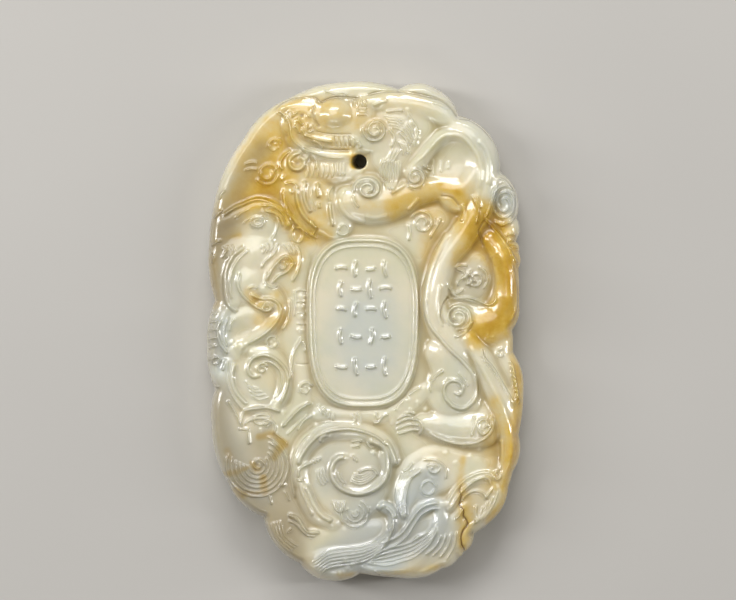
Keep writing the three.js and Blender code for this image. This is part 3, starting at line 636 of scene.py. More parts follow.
line([(-9.9, 28.6), (-9.5, 28.2), (-9.2, 27.5)], 0.45, 0.25)
line([(-8.8, 28.3), (-8.7, 27.7), (-8.4, 27)], 0.4, 0.2)
line([(-8.1, 30.1), (-7.7, 29.8)], 0.5, 0.2)
line([(-12.3, 30.8), (-11.3, 30.1), (-10.6, 29), (-10.5, 27.9), (-10.1, 26.6), (-8.8, 25.5), (-7.1, 24.8),
      (-5, 24.2), (-2.9, 24.1)], [0.5, 0.5, 0.4], [0.28, 0.26, 0.1])
line([(-7, 31.5), (-7.3, 30.7), (-7.1, 29.6), (-6.4, 28.4)], 0.4, -0.14)
tally("head")

# %% [markdown]
# **Under the jaw.** Cloud curls, a ribbed band and a sheaf of long plumes fill the
# corner below the head. The ribs are fans of equal short lines. The plumes are wide
# raised lines side by side, which read as one feather over the next.

# %% Fine lines: clouds and bands under the jaw
scroll((-9.5, 23.5), 1.25, 0.85, 1.05, 60, width=0.8, rise=0.42)
beads([(-9.5, 23.4)], 0.55, -0.35)
line([(-11.6, 22.4), (-11.9, 23.5), (-11.3, 24.5), (-10.3, 25.2)], 0.45, 0.28)
line([(-8.8, 25.4), (-8.1, 24.7), (-8.4, 23.7)], 0.7, 0.3)
line([(-7.4, 24.4), (-6.8, 23.5), (-7, 22.6)], 0.45, 0.22)
fan([(-8.1, 23.4), (-8, 22.4), (-8.2, 21.4)], [(-4.6, 23.4), (-4.5, 22.4), (-4.7, 21.4)], 6, width=0.42,
    rise=0.14)
fan([(-3.9, 23.5), (-3.9, 22.6), (-3.9, 21.7)], [(-3, 23.5), (-3, 22.6), (-3, 21.7)], 3, rise=0.16)
line([(-9.6, 20.3), (-9.6, 18.8), (-9.2, 17.2), (-8.4, 15.8), (-6.7, 14.2)], [0.7, 0.9, 0.6], 0.42)
line([(-8.4, 21), (-8.6, 19.6), (-8.4, 18.1), (-7.7, 16.5)], 0.75, 0.4)
line([(-7.5, 19.8), (-7.5, 18.4), (-7, 16.8)], 0.4, 0.16)
line([(-6.6, 20.6), (-6.7, 19.6), (-6.6, 18.6)], 0.75, 0.4)
line([(-6.6, 17.9), (-6.4, 17.1)], 0.6, 0.25)
line([(-5, 17.8), (-4.9, 16.5), (-4.6, 14.6)], 0.65, 0.4)
line([(-4.6, 20.2), (-5.2, 19.1), (-5, 18.1)], 0.45, 0.2)
line([(-11.5, 19.8), (-11.2, 17.7), (-10.1, 15.7), (-8.7, 14.2), (-6.7, 12.9)], 0.6, 0.24)
scroll((-3.1, 14.2), 0.9, 0.5, 1.0, 200, rise=0.2)
scroll((-9.4, 13.5), 0.9, 0.6, 1.0, 120, width=0.5, rise=0.24, flatness=1.4)
line([(-7.5, 15.4), (-7, 14.3), (-7.4, 13.3)], 0.5, 0.3)
line([(-11.2, 20.5), (-10.3, 20.7), (-9.6, 20.3)], 0.45, 0.2)
line([(-10.3, 19.8), (-10.2, 19.1)], 0.4, 0.2)
tally("under the jaw")

# %% [markdown]
# **Foreleg and paw.** A wide spiral marks the joint where the foreleg meets the
# body, and short raised lines are its folds and claws. The dome of a limb is too
# smooth to show a joint by itself, so the lines have to tell it.

# %% Fine lines: foreleg, paw and claws
line([(3.5, 19.2), (4.5, 19.8), (5.5, 20.5)], 0.7, 0.2)
scroll((0.3, 19.8), 2.0, 0.3, 1.9, 200, hand=-1, width=0.6, rise=0.42, flatness=0.85)
line([(-2.9, 19.9), (-3.5, 18.8), (-3.5, 17.5), (-2.9, 16.4), (-1.8, 15.6), (-0.1, 15.1)], 0.8, 0.16)
line([(-1.8, 18.9), (-1.5, 17.9), (-1, 17.2)], 0.5, 0.22)
line([(-0.1, 16), (1.4, 15.7), (3.1, 16.1)], 0.9, 0.1)
line([(7.3, 18.4), (6.7, 17.7), (6, 16.8)], 0.7, 0.22)
line([(10.4, 18.9), (11.9, 18.6), (13, 17.4)], 0.6, -0.1)
line([(13.5, 17.7), (13.6, 16.5), (13.2, 15.3)], 0.6, 0.25)
line([(14.7, 18.9), (15.4, 17.7), (15.6, 16.3), (15.3, 14.9)], 0.45, 0.22)
line([(15.4, 18.8), (15.8, 17.9), (16, 17.1)], 0.35, 0.18)
scroll((7.9, 15.1), 1.7, 0.4, 1.6, 160, hand=-1, rise=0.28)
fan([(8.7, 15.7), (9.1, 15), (9.1, 14.4)], [(10.4, 15.7), (10.4, 15.6), (10.2, 15)], 3, width=0.4, rise=0.22)
line([(10.5, 15.6), (9.8, 14.4), (9, 13)], 0.5, 0.28)
mound((12.3, 14.2), 0.35, 0.8, MID, turn=10)
line([(6, 15), (6.2, 13.9), (6, 12.6)], 0.5, 0.25)
tally("foreleg and paw")

# %% [markdown]
# **The cloud at the right and the sunk panel.** A tall spiral of three turns fills
# the lobe at the right edge. In the loop between the limbs lies a sunk panel with a
# small figure of hooks and one curl. Many of its lines cross, and the channels keep
# an older line whole where a newer one runs over it.

# %% Fine lines: cloud at the right, neck, thigh and panel
scroll((19.3, 17.8), 2.2, 0.25, 3.0, 230, width=0.4, rise=0.34, flatness=1.35)
line([(18.4, 21.4), (19.5, 20.9), (20.5, 19.5), (20.7, 17.5), (20.2, 15.7), (19.1, 14.7), (17.9, 15.3)],
     0.4, 0.22)
fan([(19.6, 13.3), (20.3, 13.6), (21, 13.3)], [(19.9, 11.6), (20.5, 11.9), (21.2, 11.6)], 3, width=0.4,
    rise=0.24)
line([(18.4, 20.7), (17.7, 18.6), (17, 16.4), (16.7, 15.6), (17.7, 14.4), (18.8, 13.2), (19.8, 11.8),
      (20.5, 10.5), (21.2, 9.3)], 0.5, 0.25)
line([(16.8, 16), (16, 14.6), (15.7, 13.9), (16.1, 12.9), (16.4, 11.8)], 0.5, -0.12)
line([(20.2, 9.7), (20.7, 7.7), (21, 5.5), (20.9, 3.2), (20.2, 1.3)], 0.5, 0.14)
beads([(17, -0.3), (17, -0.8), (17.7, -0.7)], 0.22, 0.2)
line([(12.5, 8.8), (13.2, 9.2), (14.2, 9.1)], 0.42, 0.28)
line([(12.6, 8.7), (13.6, 8.3), (13.7, 7.7), (12.9, 7), (12.8, 6.3)], 0.42, 0.3)
line([(13.6, 7.2), (14.3, 7.9), (15, 7.4), (14.6, 6.7), (13.9, 6.5)], 0.4, 0.28)
scroll((15.3, 7.3), 1.35, 0.25, 1.5, 110, width=0.4, rise=0.28)
line([(15.7, 9), (16.7, 8.3), (17, 7), (16.4, 5.9)], 0.38, 0.24)
line([(12.1, 5.8), (12.5, 5.3), (13.2, 5.5), (13.6, 5.9)], 0.45, 0.26)
line([(16.3, 8.6), (16.7, 7.9), (16.7, 7)], 0.35, 0.2)
line([(11.6, 6.3), (12.5, 4.9), (14.7, 4.6), (16, 4.1), (17.1, 3.7), (17.9, 4.2), (18.1, 5.3)], 0.45, 0.25)
line([(11.4, 6.6), (11.6, 5.9)], 0.4, 0.2)
tally("right cloud, neck and panel")

# %% [markdown]
# **The long body, the haunch and the foot.** One raised line runs unbroken down the
# inner edge of the body, round the haunch and into a spiral. Drawn in pieces it would
# show a joint at each, so it is one path with many widths. Shorter lines are the
# toes, the tail and the row of ticks on the right-hand rim.

# %% Fine lines: long body, haunches and foot
line([(11.5, 13.9), (10.2, 11.4), (9.3, 9.3), (8.7, 7.2), (8.3, 4.4), (8.4, 2.3), (9, 0.7), (10.1, -0.7),
      (11.6, -2.4), (13.5, -4.2), (14.9, -5.9), (15.4, -7.7), (15.1, -9.5), (13.7, -10.7), (12.2, -10.4),
      (11.1, -9.2), (10.9, -7.9), (11.6, -6.9), (12.9, -7), (13.5, -8), (13, -8.8), (12.2, -8.4)],
     [1.2, 0.9, 0.7, 0.7, 0.8, 0.7, 0.5], 0.3, fade=0.03)
line([(10.4, 6.5), (10, 3.7), (10.1, 2.1), (10.8, 0.7)], 0.8, 0.15)
scroll((12.8, 2), 1.95, 0.2, 2.0, -70, width=0.55, rise=0.32)
line([(12.3, -0.7), (13.3, -0.4), (14.3, 0.4), (14.9, 1.6)], 0.6, 0.25)
line([(12.5, 0.3), (13.5, 0.4), (14.2, 1.1)], 0.35, 0.15)
line([(11.5, 4.8), (10.8, 3.7), (10.5, 2.3), (10.9, 1)], 0.5, -0.22)
line([(11.9, 4.5), (13.5, 4.5), (14.9, 4.1)], 0.4, 0.12)
line([(9, -8.5), (9.1, -7.3), (10, -6.1), (10.8, -5.6)], 0.35, 0.18)
line([(12.8, -5.7), (13.7, -6.6), (14.2, -7.7)], 0.35, 0.12)
line([(9, -6.8), (9.8, -6.1), (10.8, -5.4)], 0.4, 0.2)
line([(14.7, -1.9), (15, -3.3), (16, -4.9), (17.4, -7.3), (18.8, -9.8), (19.6, -11.9), (20.2, -14.1),
      (20.3, -16.4), (20, -18.3)], 1.0, 0.12, fade=0.06)
line([(18.8, -15), (18.9, -17.3), (18.6, -19.4)], 0.6, 0.15)
line([(16.4, -2.6), (16.7, -3.8), (17.8, -5.2), (18.9, -7), (20, -8.8), (21, -10.6)], 0.5, -0.15)
line([(16.1, -2.4), (16.5, -3.6), (17.7, -5), (18.8, -6.8), (19.9, -8.7), (20.9, -10.5)], 0.4, 0.3)
fan([(20, -4), (20.6, -5), (20.3, -6.4)], [(20.9, -8.8), (21.4, -9.4), (21.3, -10.1)], 8, rise=0.25)
scroll((18.8, -3.1), 0.7, 0.2, 1.0, 60, rise=0.22)
line([(8.7, -14.1), (10.4, -15), (12.9, -15.7), (15.4, -15.5), (17.4, -14.1), (17.8, -12.4), (17.2, -11.5)],
     0.5, 0.16)
fan([(4.2, -13), (5.2, -12.4), (6.3, -12.2), (7.3, -12.4)],
    [(4.4, -14.3), (5.5, -14), (6.5, -13.7), (7.4, -13.8)], 3, width=0.5, rise=0.32)
line([(6.7, -12), (7.6, -12.6), (7.9, -13.6), (7.4, -14.4)], 0.45, 0.3)
fan([(4.4, -12.3), (5.5, -11.7), (6.5, -11.9)], [(5.3, -11.5), (6.2, -11.3), (6.9, -11.6)], 2, width=0.4,
    rise=0.26)
line([(17.2, -11.5), (17.4, -13), (16.5, -14.3), (15.7, -13.8), (15.6, -12.7), (16.4, -12.2), (17, -12.9),
      (16.4, -13.4)], 0.45, 0.3)
line([(15, -11.9), (15.1, -13), (14.7, -14.5)], 0.45, 0.16)
tally("long body and foot")

# %% [markdown]
# **The small dragon.** It is nearly all curls. Each limb has a raised line along its
# edge, and beads stand for claws and for the chain beside the cartouche. A bead is a
# shallow dome on the sheet, because a whole ball couldn't be carved there either.

# %% Fine lines: small dragon's head and limbs
line([(-19.9, 16.1), (-18.6, 17), (-17.1, 17.7), (-15, 18.4), (-12.9, 17.8), (-11.3, 16.8), (-10.6, 15.3),
      (-10.6, 14.3)], 0.6, 0.28)
line([(-14.5, 17.5), (-13.1, 17.4), (-11.9, 16.7), (-11, 15.4), (-11, 14.4)], 0.45, 0.24)
line([(-14, 16.7), (-12.9, 16.5), (-11.9, 15.8), (-11.5, 14.6)], 0.45, 0.2)
line([(-12.6, 16.1), (-12.2, 15), (-12.6, 13.6), (-13.1, 12.6)], 0.5, 0.2)
scroll((-15, 15.1), 1.25, 0.25, 2.1, 10, width=0.36, rise=0.24, flatness=0.68)
line([(-17.1, 14.9), (-16.2, 15.7), (-15.1, 16.1), (-14, 15.7)], 0.36, 0.14)
line([(-18.2, 15.7), (-17.8, 16), (-17.3, 16.4), (-16.2, 17)], 0.4, 0.12)
fan([(-19.9, 11.8), (-19.4, 11.1), (-19.2, 10.1)], [(-18.6, 12.1), (-18.3, 11.4), (-18.3, 10.5)], 3,
    width=0.42, rise=0.16)
line([(-16.8, 11.9), (-18.5, 10.4), (-19.4, 8.6), (-19.6, 6.3), (-19.2, 3.9), (-17.9, 2.7)], 0.75, 0.32)
line([(-16.2, 11.4), (-17.6, 10.1), (-18.6, 8.4), (-18.9, 6.3), (-18.6, 4.5)], 0.5, 0.18)
line([(-17.6, 8.3), (-17.8, 6.7), (-17.2, 5.2), (-15.9, 3.9), (-14.8, 3.2), (-13.7, 2.8), (-12.9, 3.1)],
     0.6, 0.32)
scroll((-13.7, 3.3), 0.85, 0.2, 1.5, -20, width=0.45, rise=0.3)
line([(-16.1, 5.2), (-14.7, 4.6), (-13.1, 4.5), (-12, 3.7), (-11.9, 2.4), (-12.7, 0.9), (-14.3, -0.5),
      (-16.5, -1.8)], 0.6, 0.3)
line([(-16.4, 5.9), (-15.7, 6.2), (-15, 6)], 0.5, 0.16)
tally("small dragon, head and limbs")

# %% Fine lines: small dragon's claws, tail and beads
line([(-12.2, 12.3), (-12.7, 10.9), (-14, 9.7), (-14.5, 8.8)], 0.5, 0.28)
fan([(-14.5, 11.9), (-14, 11.5), (-14.3, 10.8)], [(-13, 12.8), (-12.9, 11.9), (-13.3, 11.1)], 3, width=0.36,
    rise=0.2)
line([(-13.8, 7), (-12.9, 8.8), (-11.9, 10), (-10.9, 10.5), (-10.1, 9.5), (-10.8, 8.4), (-12.2, 7.6),
      (-13.1, 6.6)], 0.5, 0.32)
scroll((-11.5, 9.3), 0.75, 0.3, 1.2, 40, width=0.42, rise=0.26, flatness=1.25)
line([(-13.7, 8.3), (-14, 7), (-13.3, 6.2), (-12.3, 6.3)], 0.45, 0.28)
line([(-9.6, 12.1), (-9.1, 10.5), (-9.4, 8.4), (-10.2, 6.9)], 0.5, 0.3)
fan([(-11.5, 12.2), (-10.8, 11.4), (-10.5, 10.7)], [(-10.2, 12.3), (-9.9, 11.5), (-9.9, 10.7)], 3,
    width=0.36, rise=0.2)
line([(-20.1, 1.8), (-20.6, 0.3), (-20.3, -1.5), (-19.2, -3.1)], 0.6, 0.32)
line([(-19, 2), (-19.6, 0.6), (-19.7, -1), (-19.2, -2.1)], 0.45, 0.22)
line([(-18.2, 1.8), (-18.7, 1.1), (-18.9, 0)], 0.4, 0.16)
beads([(-18.6, -1.5), (-18.2, -2.1), (-17.6, -1.8), (-17.2, -2.2), (-16.8, -1.8), (-13.1, -1.5),
       (-12.6, -1.1), (-12.7, -1.9)], 0.33, 0.26)
scroll((-13, -1.5), 0.8, 0.7, 1.0, 30, width=0.36, rise=0.2)
line([(-11.6, 0.2), (-10.9, 1.3), (-10.6, 3), (-10.5, 4.6)], 0.45, 0.22)
line([(-9.9, 5.8), (-9.8, 3.9), (-9.9, 2.1)], 0.4, 0.16)
beads([(-8.9, 4.9), (-9.1, 3.5), (-9.1, 2.1), (-9.1, 0.3)], 0.6, 0.28)
fan([(-9.6, 5.6), (-9.1, 5.8), (-8.4, 5.6)], [(-9.6, 1), (-9.1, 1.1), (-8.4, 1)], 4, width=0.36, rise=0.18)
tally("small dragon, claws, tail and beads")

# %% [markdown]
# **Curls at the left.** Long hooks close round small scrolls, and a row of short
# ticks crosses the rim lobe. The same few strokes make them all, and only their
# widths and rises differ, so one set of tools serves the whole face.

# %% Fine lines: curls at the left edge and beside the cartouche
line([(-11.9, -10.1), (-11.2, -8.5), (-10.8, -6.8), (-11.2, -5.2), (-12.6, -3.8), (-14.3, -3.3),
      (-15.8, -3.9), (-16.4, -5.3), (-15.7, -6.3), (-14.5, -6.1)], 0.65, 0.34)
line([(-12.7, -9.4), (-11.9, -7.8), (-11.7, -6.1), (-12.4, -4.9), (-13.7, -4.2), (-14.8, -4.5)], 0.4, 0.2)
scroll((-14.4, -5.2), 0.8, 0.2, 1.3, 20, width=0.4, rise=0.28)
fan([(-16.8, -6.8), (-15.9, -7.7), (-14.8, -8)], [(-15.9, -8.9), (-14.8, -9.5), (-13.4, -9.1)], 4,
    width=0.4, rise=0.1)
line([(-18.2, -4.3), (-18.6, -6.4), (-18, -8.4), (-16.5, -10.2)], 0.75, 0.3)
line([(-19.2, -4), (-19.3, -6.6), (-18.6, -8.8), (-17.2, -10.8)], 0.45, 0.18)
line([(-10.5, -6.8), (-10.3, -4.6), (-9.9, -2.8), (-8.9, -1.1)], 0.5, 0.26)
line([(-17.1, -11), (-15.4, -10.8), (-13.7, -10.6), (-11.9, -11.2)], 0.55, 0.26)
scroll((-14.4, -12.3), 1.3, 1.1, 0.9, 20, width=0.42, rise=0.22, flatness=0.6)
line([(-19.4, -3.9), (-19.9, -5.4)], 0.5, 0.25)
fan([(-22, 2.3), (-21.4, 2.5), (-20.7, 2.6)], [(-22, -2.4), (-21.4, -2.1), (-20.7, -2)], 5, width=0.4,
    rise=0.2)
line([(-22, -4), (-21.4, -3.8), (-20.7, -3.6)], 0.4, 0.2)
line([(-21.5, -8.1), (-21.1, -7.8), (-20.4, -7.7)], 0.4, 0.2)
scroll((-20.8, -4.2), 0.7, 0.2, 1.2, 0, width=0.38, rise=0.2)
line([(-9.8, -4.5), (-8.8, -4.6), (-7.8, -4.5)], 0.4, -0.06)
scroll((-8.4, -8), 1.0, 0.3, 1.2, 20, rise=0.22)
line([(-9.2, -0.8), (-8.5, -1.9), (-8.5, -2.9)], 0.4, 0.15)
tally("left curls")

# %% [markdown]
# **The ringed creature.** Its body closes into a ring, and a second line runs round
# inside it and ends in a hook. Fans of strands are its fins. Under it three open
# rings, worked out by a loop, are a ripple in the water.

# %% Fine lines: curls between the cartouche and the ringed creature
line([(-7.8, -9.9), (-9.2, -10.9), (-10.3, -12), (-11.5, -13.3)], 0.5, 0.26)
line([(-7.4, -11.7), (-8.5, -12.4), (-9.5, -13.8)], 0.4, 0.2)
fan([(-6.7, -10.2), (-6.1, -10.9), (-5.9, -11.6)], [(-4.6, -11.5), (-4.5, -11.7), (-4.6, -12.4)], 4,
    width=0.38, rise=0.18)
fan([(-1.9, -11.5), (-1.5, -12.2), (-1.7, -12.9)], [(-1.2, -11.2), (-0.8, -11.9), (-0.8, -13)], 2, rise=0.18)
line([(1, -12.6), (1.7, -12.7), (2.3, -11.9), (3.1, -11.5)], 0.45, 0.25)
line([(1.4, -11.3), (1.6, -12.2)], 0.4, 0.2)
line([(4.1, -11), (4.8, -10.2), (5.3, -9.6)], 0.4, 0.15)
line([(5.9, -8.9), (6.9, -8.2), (7.7, -7.8)], 0.4, 0.2)
beads([(6, -9.5), (6.2, -10.9), (7.3, -9.9), (4.6, -10.9), (8.3, -10.9), (3.7, -12.6), (-7, -13)], 0.4, 0.2)
tally("under the cartouche")

# %% Fine lines: ringed creature's body and fins
line([(-9.4, -18.6), (-9.1, -17.6), (-8.5, -16.6), (-7.7, -15.5), (-6.6, -14.5), (-5.2, -13.9),
      (-3.5, -13.6), (-1.8, -13.6), (0, -14), (1.7, -14.8), (3, -15.9)], [0.8, 0.7, 0.6, 0.5], 0.34,
     fade=0.03)
line([(2.7, -15.1), (3.4, -16.1), (3.9, -17.3), (4.2, -18.6)], 0.8, 0.3)
line([(-9.4, -20.3), (-9.2, -19.2), (-8.5, -18.7), (-7.4, -18.2)], 0.5, 0.3)
line([(-2.9, -17.4), (-3.9, -17.6), (-4.6, -18.5), (-4.8, -19.7), (-4.3, -21), (-3.2, -22), (-1.5, -22.6),
      (0.2, -22.4), (1.7, -21.7), (2.7, -20.6), (3.1, -19.2), (3.1, -17.9), (2.8, -16.6), (1.7, -15.7),
      (0.3, -15.2)], 0.9, 0.34, fade=0.03)
line([(-3.9, -19.4), (-3.6, -20.4), (-2.9, -21.2)], 0.55, 0.3)
fan([(-1.9, -15.4), (-1.2, -15.2), (-0.5, -15.4)], [(-1.9, -16.1), (-1.2, -15.9), (-0.8, -15.9)], 2, rise=0.2)
line([(0, -15.4), (0.6, -16.1), (1.1, -16.2)], 0.4, 0.22)
beads([(1.1, -16.8), (2.3, -16.8)], 0.42, 0.3)
beads([(-4.9, -14.5)], 0.28, 0.24)
fan([(-1.8, -17.2), (-1.6, -17.9)], [(-1.4, -17.5), (-1.2, -18.2)], 2, rise=0.22)
fan([(-2.2, -20.8), (-0.8, -21.3), (0.7, -20.7), (1.7, -19.7)],
    [(-1.7, -19.7), (-0.8, -20), (0, -19.8), (0.6, -19.4)], 5, width=0.4, rise=0.12)
line([(-1, -19.6), (0, -19.2), (1, -19.2), (1.7, -20)], 0.5, 0.3)
fan([(-6.7, -19.2), (-6.6, -20.4), (-5.9, -21.5)], [(-5.9, -18.9), (-5.7, -20), (-5.2, -21)], 3, width=0.4,
    rise=0.14)
line([(-6.3, -15.4), (-6, -14.7), (-5.3, -14.5)], 0.6, 0.26)
fan([(-7.3, -17.8), (-7, -18.3)], [(-6.4, -17.5), (-6.3, -17.9)], 3, rise=0.22)
line([(-8.4, -21.4), (-7.8, -22.5), (-7.1, -24.1), (-6.1, -25.5), (-4.6, -26.4)], 0.9, 0.34)
line([(-9.2, -21), (-8.9, -22.2), (-8.2, -23.6), (-7.4, -25.6)], 0.7, 0.18)
line([(-7.8, -14.3), (-8.9, -15.5), (-9.8, -17.3), (-10.2, -19.2), (-10.3, -20.8), (-9.8, -23.1)], 0.42, 0.2)
line([(-9.5, -20.6), (-9.1, -20.8), (-8.7, -20.4)], 0.45, 0.3)
fan([(-7.4, -14.7), (-5.7, -13.6), (-3.6, -13.1)], [(-7.7, -14), (-6.1, -13), (-4.5, -12.6)], 2, width=0.36,
    rise=0.1)
fan([(-4.6, -23.5), (-4.3, -24.6), (-3.5, -25.3)], [(-2.9, -23.6), (-2.9, -24.5), (-2.5, -24.9)], 5,
    width=0.36, rise=0.16)
for radius in 0.5 + 0.7 * np.arange(3):
    scroll((-1.5, -25.3), radius, radius, 0.8, 140, width=0.36, rise=0.15)
beads([(-1.5, -25.2)], 0.3, 0.2)
line([(0.4, -24.3), (0.4, -25.2)], 0.4, 0.2)
tally("ringed creature")

# %% [markdown]
# **Ripples.** At the lower left water spreads from one point in six open rings. The
# gaps between them are even, so a loop sets them out, and each ring opens a little
# wider than the one inside it.

# %% Fine lines: ripples at the lower left
RIPPLES = 6
FIRST_RIPPLE = 1.1
RIPPLE_GAP = 0.64
for ring in range(RIPPLES):
    radius = FIRST_RIPPLE + RIPPLE_GAP * ring
    scroll((-15.1, -18.7), radius, radius, 0.62 + 0.03 * ring, 175 - 4 * ring, width=0.42, rise=0.2)
scroll((-15, -18.6), 0.85, 0.2, 1.3, 0, rise=0.22)
line([(-19.2, -9.6), (-18.2, -11.2), (-17.5, -12.6), (-17.3, -13.4)], 0.45, 0.28)
line([(-17.3, -13), (-17.1, -11.5), (-16.1, -10.8), (-14.1, -10.6)], 0.5, 0.24)
line([(-16.9, -13), (-16.2, -12.4), (-14.8, -12.1), (-13.4, -12.2), (-12.6, -13.1), (-12.7, -14.3)], 0.5,
     0.26)
line([(-16.4, -13.8), (-16.2, -15.7)], 0.5, 0.28)
line([(-17.6, -13.6), (-16.2, -13.6)], 0.45, 0.26)
scroll((-13.7, -12.9), 0.6, 0.3, 1.2, 0, width=0.36, rise=0.2)
beads([(-11.5, -11.2), (-14.5, -13.6)], 0.4, 0.24)
line([(-11.7, -13.4), (-10.6, -12.2), (-9.2, -10.8), (-7.5, -9.9)], 0.5, 0.28)
line([(-10.9, -14.4), (-9.6, -13), (-8.1, -11.6)], 0.45, 0.18)
line([(-13.4, -22.8), (-13.1, -24.1)], 0.4, 0.2)
line([(-12, -21.4), (-11, -21.4)], 0.4, 0.18)
line([(-11.3, -22.2), (-10.6, -23.6)], 0.4, 0.18)
fan([(-13.1, -15.2), (-11.7, -16.4), (-10.9, -17.8)], [(-12.7, -14.1), (-11.3, -15.2), (-10.9, -15.8)], 2,
    width=0.4, rise=0.16)
fan([(-13.7, -26.6), (-13, -28.8), (-10.9, -31.1)], [(-11.9, -26.2), (-11.2, -28.5), (-9.4, -29.9)], 5,
    width=0.45, rise=0.12)
line([(-10.8, -25.5), (-9.5, -25.9), (-8.7, -27), (-8, -28), (-6.4, -28)], 0.5, 0.3)
line([(-10.9, -28.1), (-10.3, -27.4)], 0.35, 0.15)
tally("ripples")

# %% [markdown]
# **Waves.** Along each swell run four to seven lines, which come together where the
# wave breaks. A fan does this when its first and last line nearly meet at one end.
# The hollows between the lines are what makes the water seem to flow.

# %% Fine lines: waves
fan([(-10.8, -25.6), (-9.5, -26.3), (-8.8, -27.3), (-8, -27.8), (-6.7, -27.8)],
    [(-10.8, -26.3), (-9.6, -26.9), (-8.9, -27.7), (-8, -28.4), (-7, -28.5)], 2, width=0.5, rise=0.22)
fan([(-7.5, -32.2), (-5.3, -30.6), (-3.5, -30.2), (-1.5, -30), (0, -29.7), (1.6, -29.1), (2.8, -28.3),
     (3.7, -27.3), (4.1, -26)],
    [(-6.4, -34.1), (-5.3, -33), (-3.5, -32.6), (-1.5, -32.3), (0, -31.9), (1.6, -30.9), (2.8, -29.5),
     (3.7, -27.8), (3.8, -26)], 6, width=0.42, rise=0.16)
line([(4.1, -26), (3.9, -25), (3.2, -24.2), (2.4, -24.1), (1.6, -24.8)], 0.9, 0.24)
line([(2.8, -24.5), (3.5, -25.3), (3.7, -26.4), (3.1, -27.6)], 0.4, 0.18)
beads([(-2.8, -31.9), (-1.7, -32.5)], 0.55, 0.25)
beads([(-2.6, -32.9), (-1.2, -32), (-3.6, -33.6)], 0.4, 0.25)
fan([(-0.1, -32.2), (1.4, -32.4), (3.1, -32.5), (4.9, -32), (6.5, -31.5), (7.9, -30.5), (9, -29.4),
     (10, -27.7)],
    [(1, -31.8), (1.4, -31.1), (3.1, -30.2), (4.9, -29.8), (6.5, -29.2), (7.9, -28.4), (9, -27.6),
     (10, -26.6)], 5, width=0.42, rise=0.16)
line([(2.5, -29.4), (4.1, -28.7), (5.2, -27.8), (6.2, -26.4), (7.3, -24.9), (8.6, -24.1), (10.2, -23.8)],
     0.6, 0.24)
line([(3.1, -30.1), (4.5, -29.5), (5.8, -28.4), (6.7, -27), (7.7, -25.6), (9, -24.8), (10.4, -24.6)], 0.42,
     0.18)
line([(6.6, -29.2), (7.3, -28.5), (8.1, -28.3)], 0.4, 0.18)
line([(1.1, -33.3), (2.1, -33.9)], 0.4, 0.15)
fan([(8.3, -31.1), (9.7, -29.9), (10.5, -28.3)], [(11.2, -31.8), (12.3, -29.9), (12.6, -27.8)], 4,
    width=0.4, rise=0.18)
fan([(5.2, -26.4), (4.2, -23.6), (4.4, -21.4), (5.3, -19.4)],
    [(5.6, -26), (5.6, -23.1), (6.3, -20.6), (7.9, -19)], 7, width=0.38, rise=0.17)
line([(8.1, -17.8), (9.7, -17.9), (10.8, -18.6), (11.2, -19.4), (11.1, -20.6)], 0.5, 0.25)
scroll((9.4, -19.2), 1.1, 0.3, 1.2, 150, hand=-1, rise=0.22, flatness=0.7)
scroll((8.7, -21.8), 1.0, 0.85, 1.0, 0, rise=0.22)
line([(6.3, -20.3), (7, -19.9), (7.7, -19.4)], 0.4, 0.2)
line([(5.1, -19.4), (5.9, -19.2), (6.5, -18.3)], 0.4, 0.2)
beads([(11.2, -16.9), (12.5, -18.3), (14.6, -17.3), (15.8, -16.4), (13.5, -16.1)], 0.4, 0.12)
tally("waves")

# %% [markdown]
# **The lower right and its crack.** Hooked waves climb the rim. A natural crack
# runs down through them to the edge. It is cut here as a narrow groove, and its path
# keeps its name, because the dirt in it is painted along the same path later.

# %% Fine lines: lower right
fan([(11.4, -23.8), (12.5, -22), (13.6, -20.8), (14.9, -20), (16.3, -19.6), (17.4, -19.7), (17.9, -20.7)],
    [(11.8, -24.8), (12.9, -22.9), (14, -21.7), (15.3, -20.7), (16.5, -20.3), (17.1, -20.6), (17.4, -21.4)],
    2, width=0.48, rise=0.22)
line([(13.2, -23.6), (13.9, -22.8), (15, -22.2), (16.3, -22.5), (17, -23.4)], 0.5, 0.22)
line([(16.7, -23.2), (17.7, -21.8)], 0.4, 0.2)
scroll((18.4, -20.1), 0.65, 0.3, 1.0, 90, rise=0.25)
line([(15.4, -24.1), (15.3, -25.3), (15.4, -26.7)], 0.6, 0.22)
fan([(14.6, -27.1), (15.7, -25.9), (16.4, -24.2)], [(16.3, -26.3), (17.7, -24.2), (18.5, -22.1)], 4,
    width=0.4, rise=0.16)
line([(12.5, -26.2), (13.2, -25.3), (13.7, -24.6)], 0.4, 0.2)
CRACK = [(13.3, -21.3), (13, -22.2), (13.3, -22.9), (13, -24.1), (13.6, -24.8), (13.6, -25.6), (14, -26.2),
         (14.2, -26.9), (13.6, -27.6), (13.3, -28.5), (13.3, -29.4), (13.7, -30.4), (13.7, -31.1)]
line(CRACK, 0.35, -0.2, fade=0.05)
tally("lower right")

# %% [markdown]
# **The cartouche.** A smooth field stands in the middle. A double raised rim runs
# round it, and beyond the rim a wall drops to the ground. Its plan is a superellipse,
# a rounded rectangle with no straight stretch, a little narrower towards the foot. On
# the field stand rows of small raised strokes. They are only a rhythm of ticks and
# crescents, and they read as an old inscription from a step away. Every second one
# stands upright, and a little chance in turn and length keeps them handmade.

# %% Cartouche
CARTOUCHE_CENTRE = np.array([-0.3, 1.2])
CARTOUCHE_HALF_WIDTH = 7.6
CARTOUCHE_HALF_LENGTH = 11.8
CARTOUCHE_NARROWING = 0.0025
SQUARENESS = 3
FIELD_SWELL = 0.1
RIM_PART = 0.975
INNER_RIM_PART = 0.9
WALL_SLOPE = 22
WALL_CURVE = 1.3
NO_FADE = 0.0001

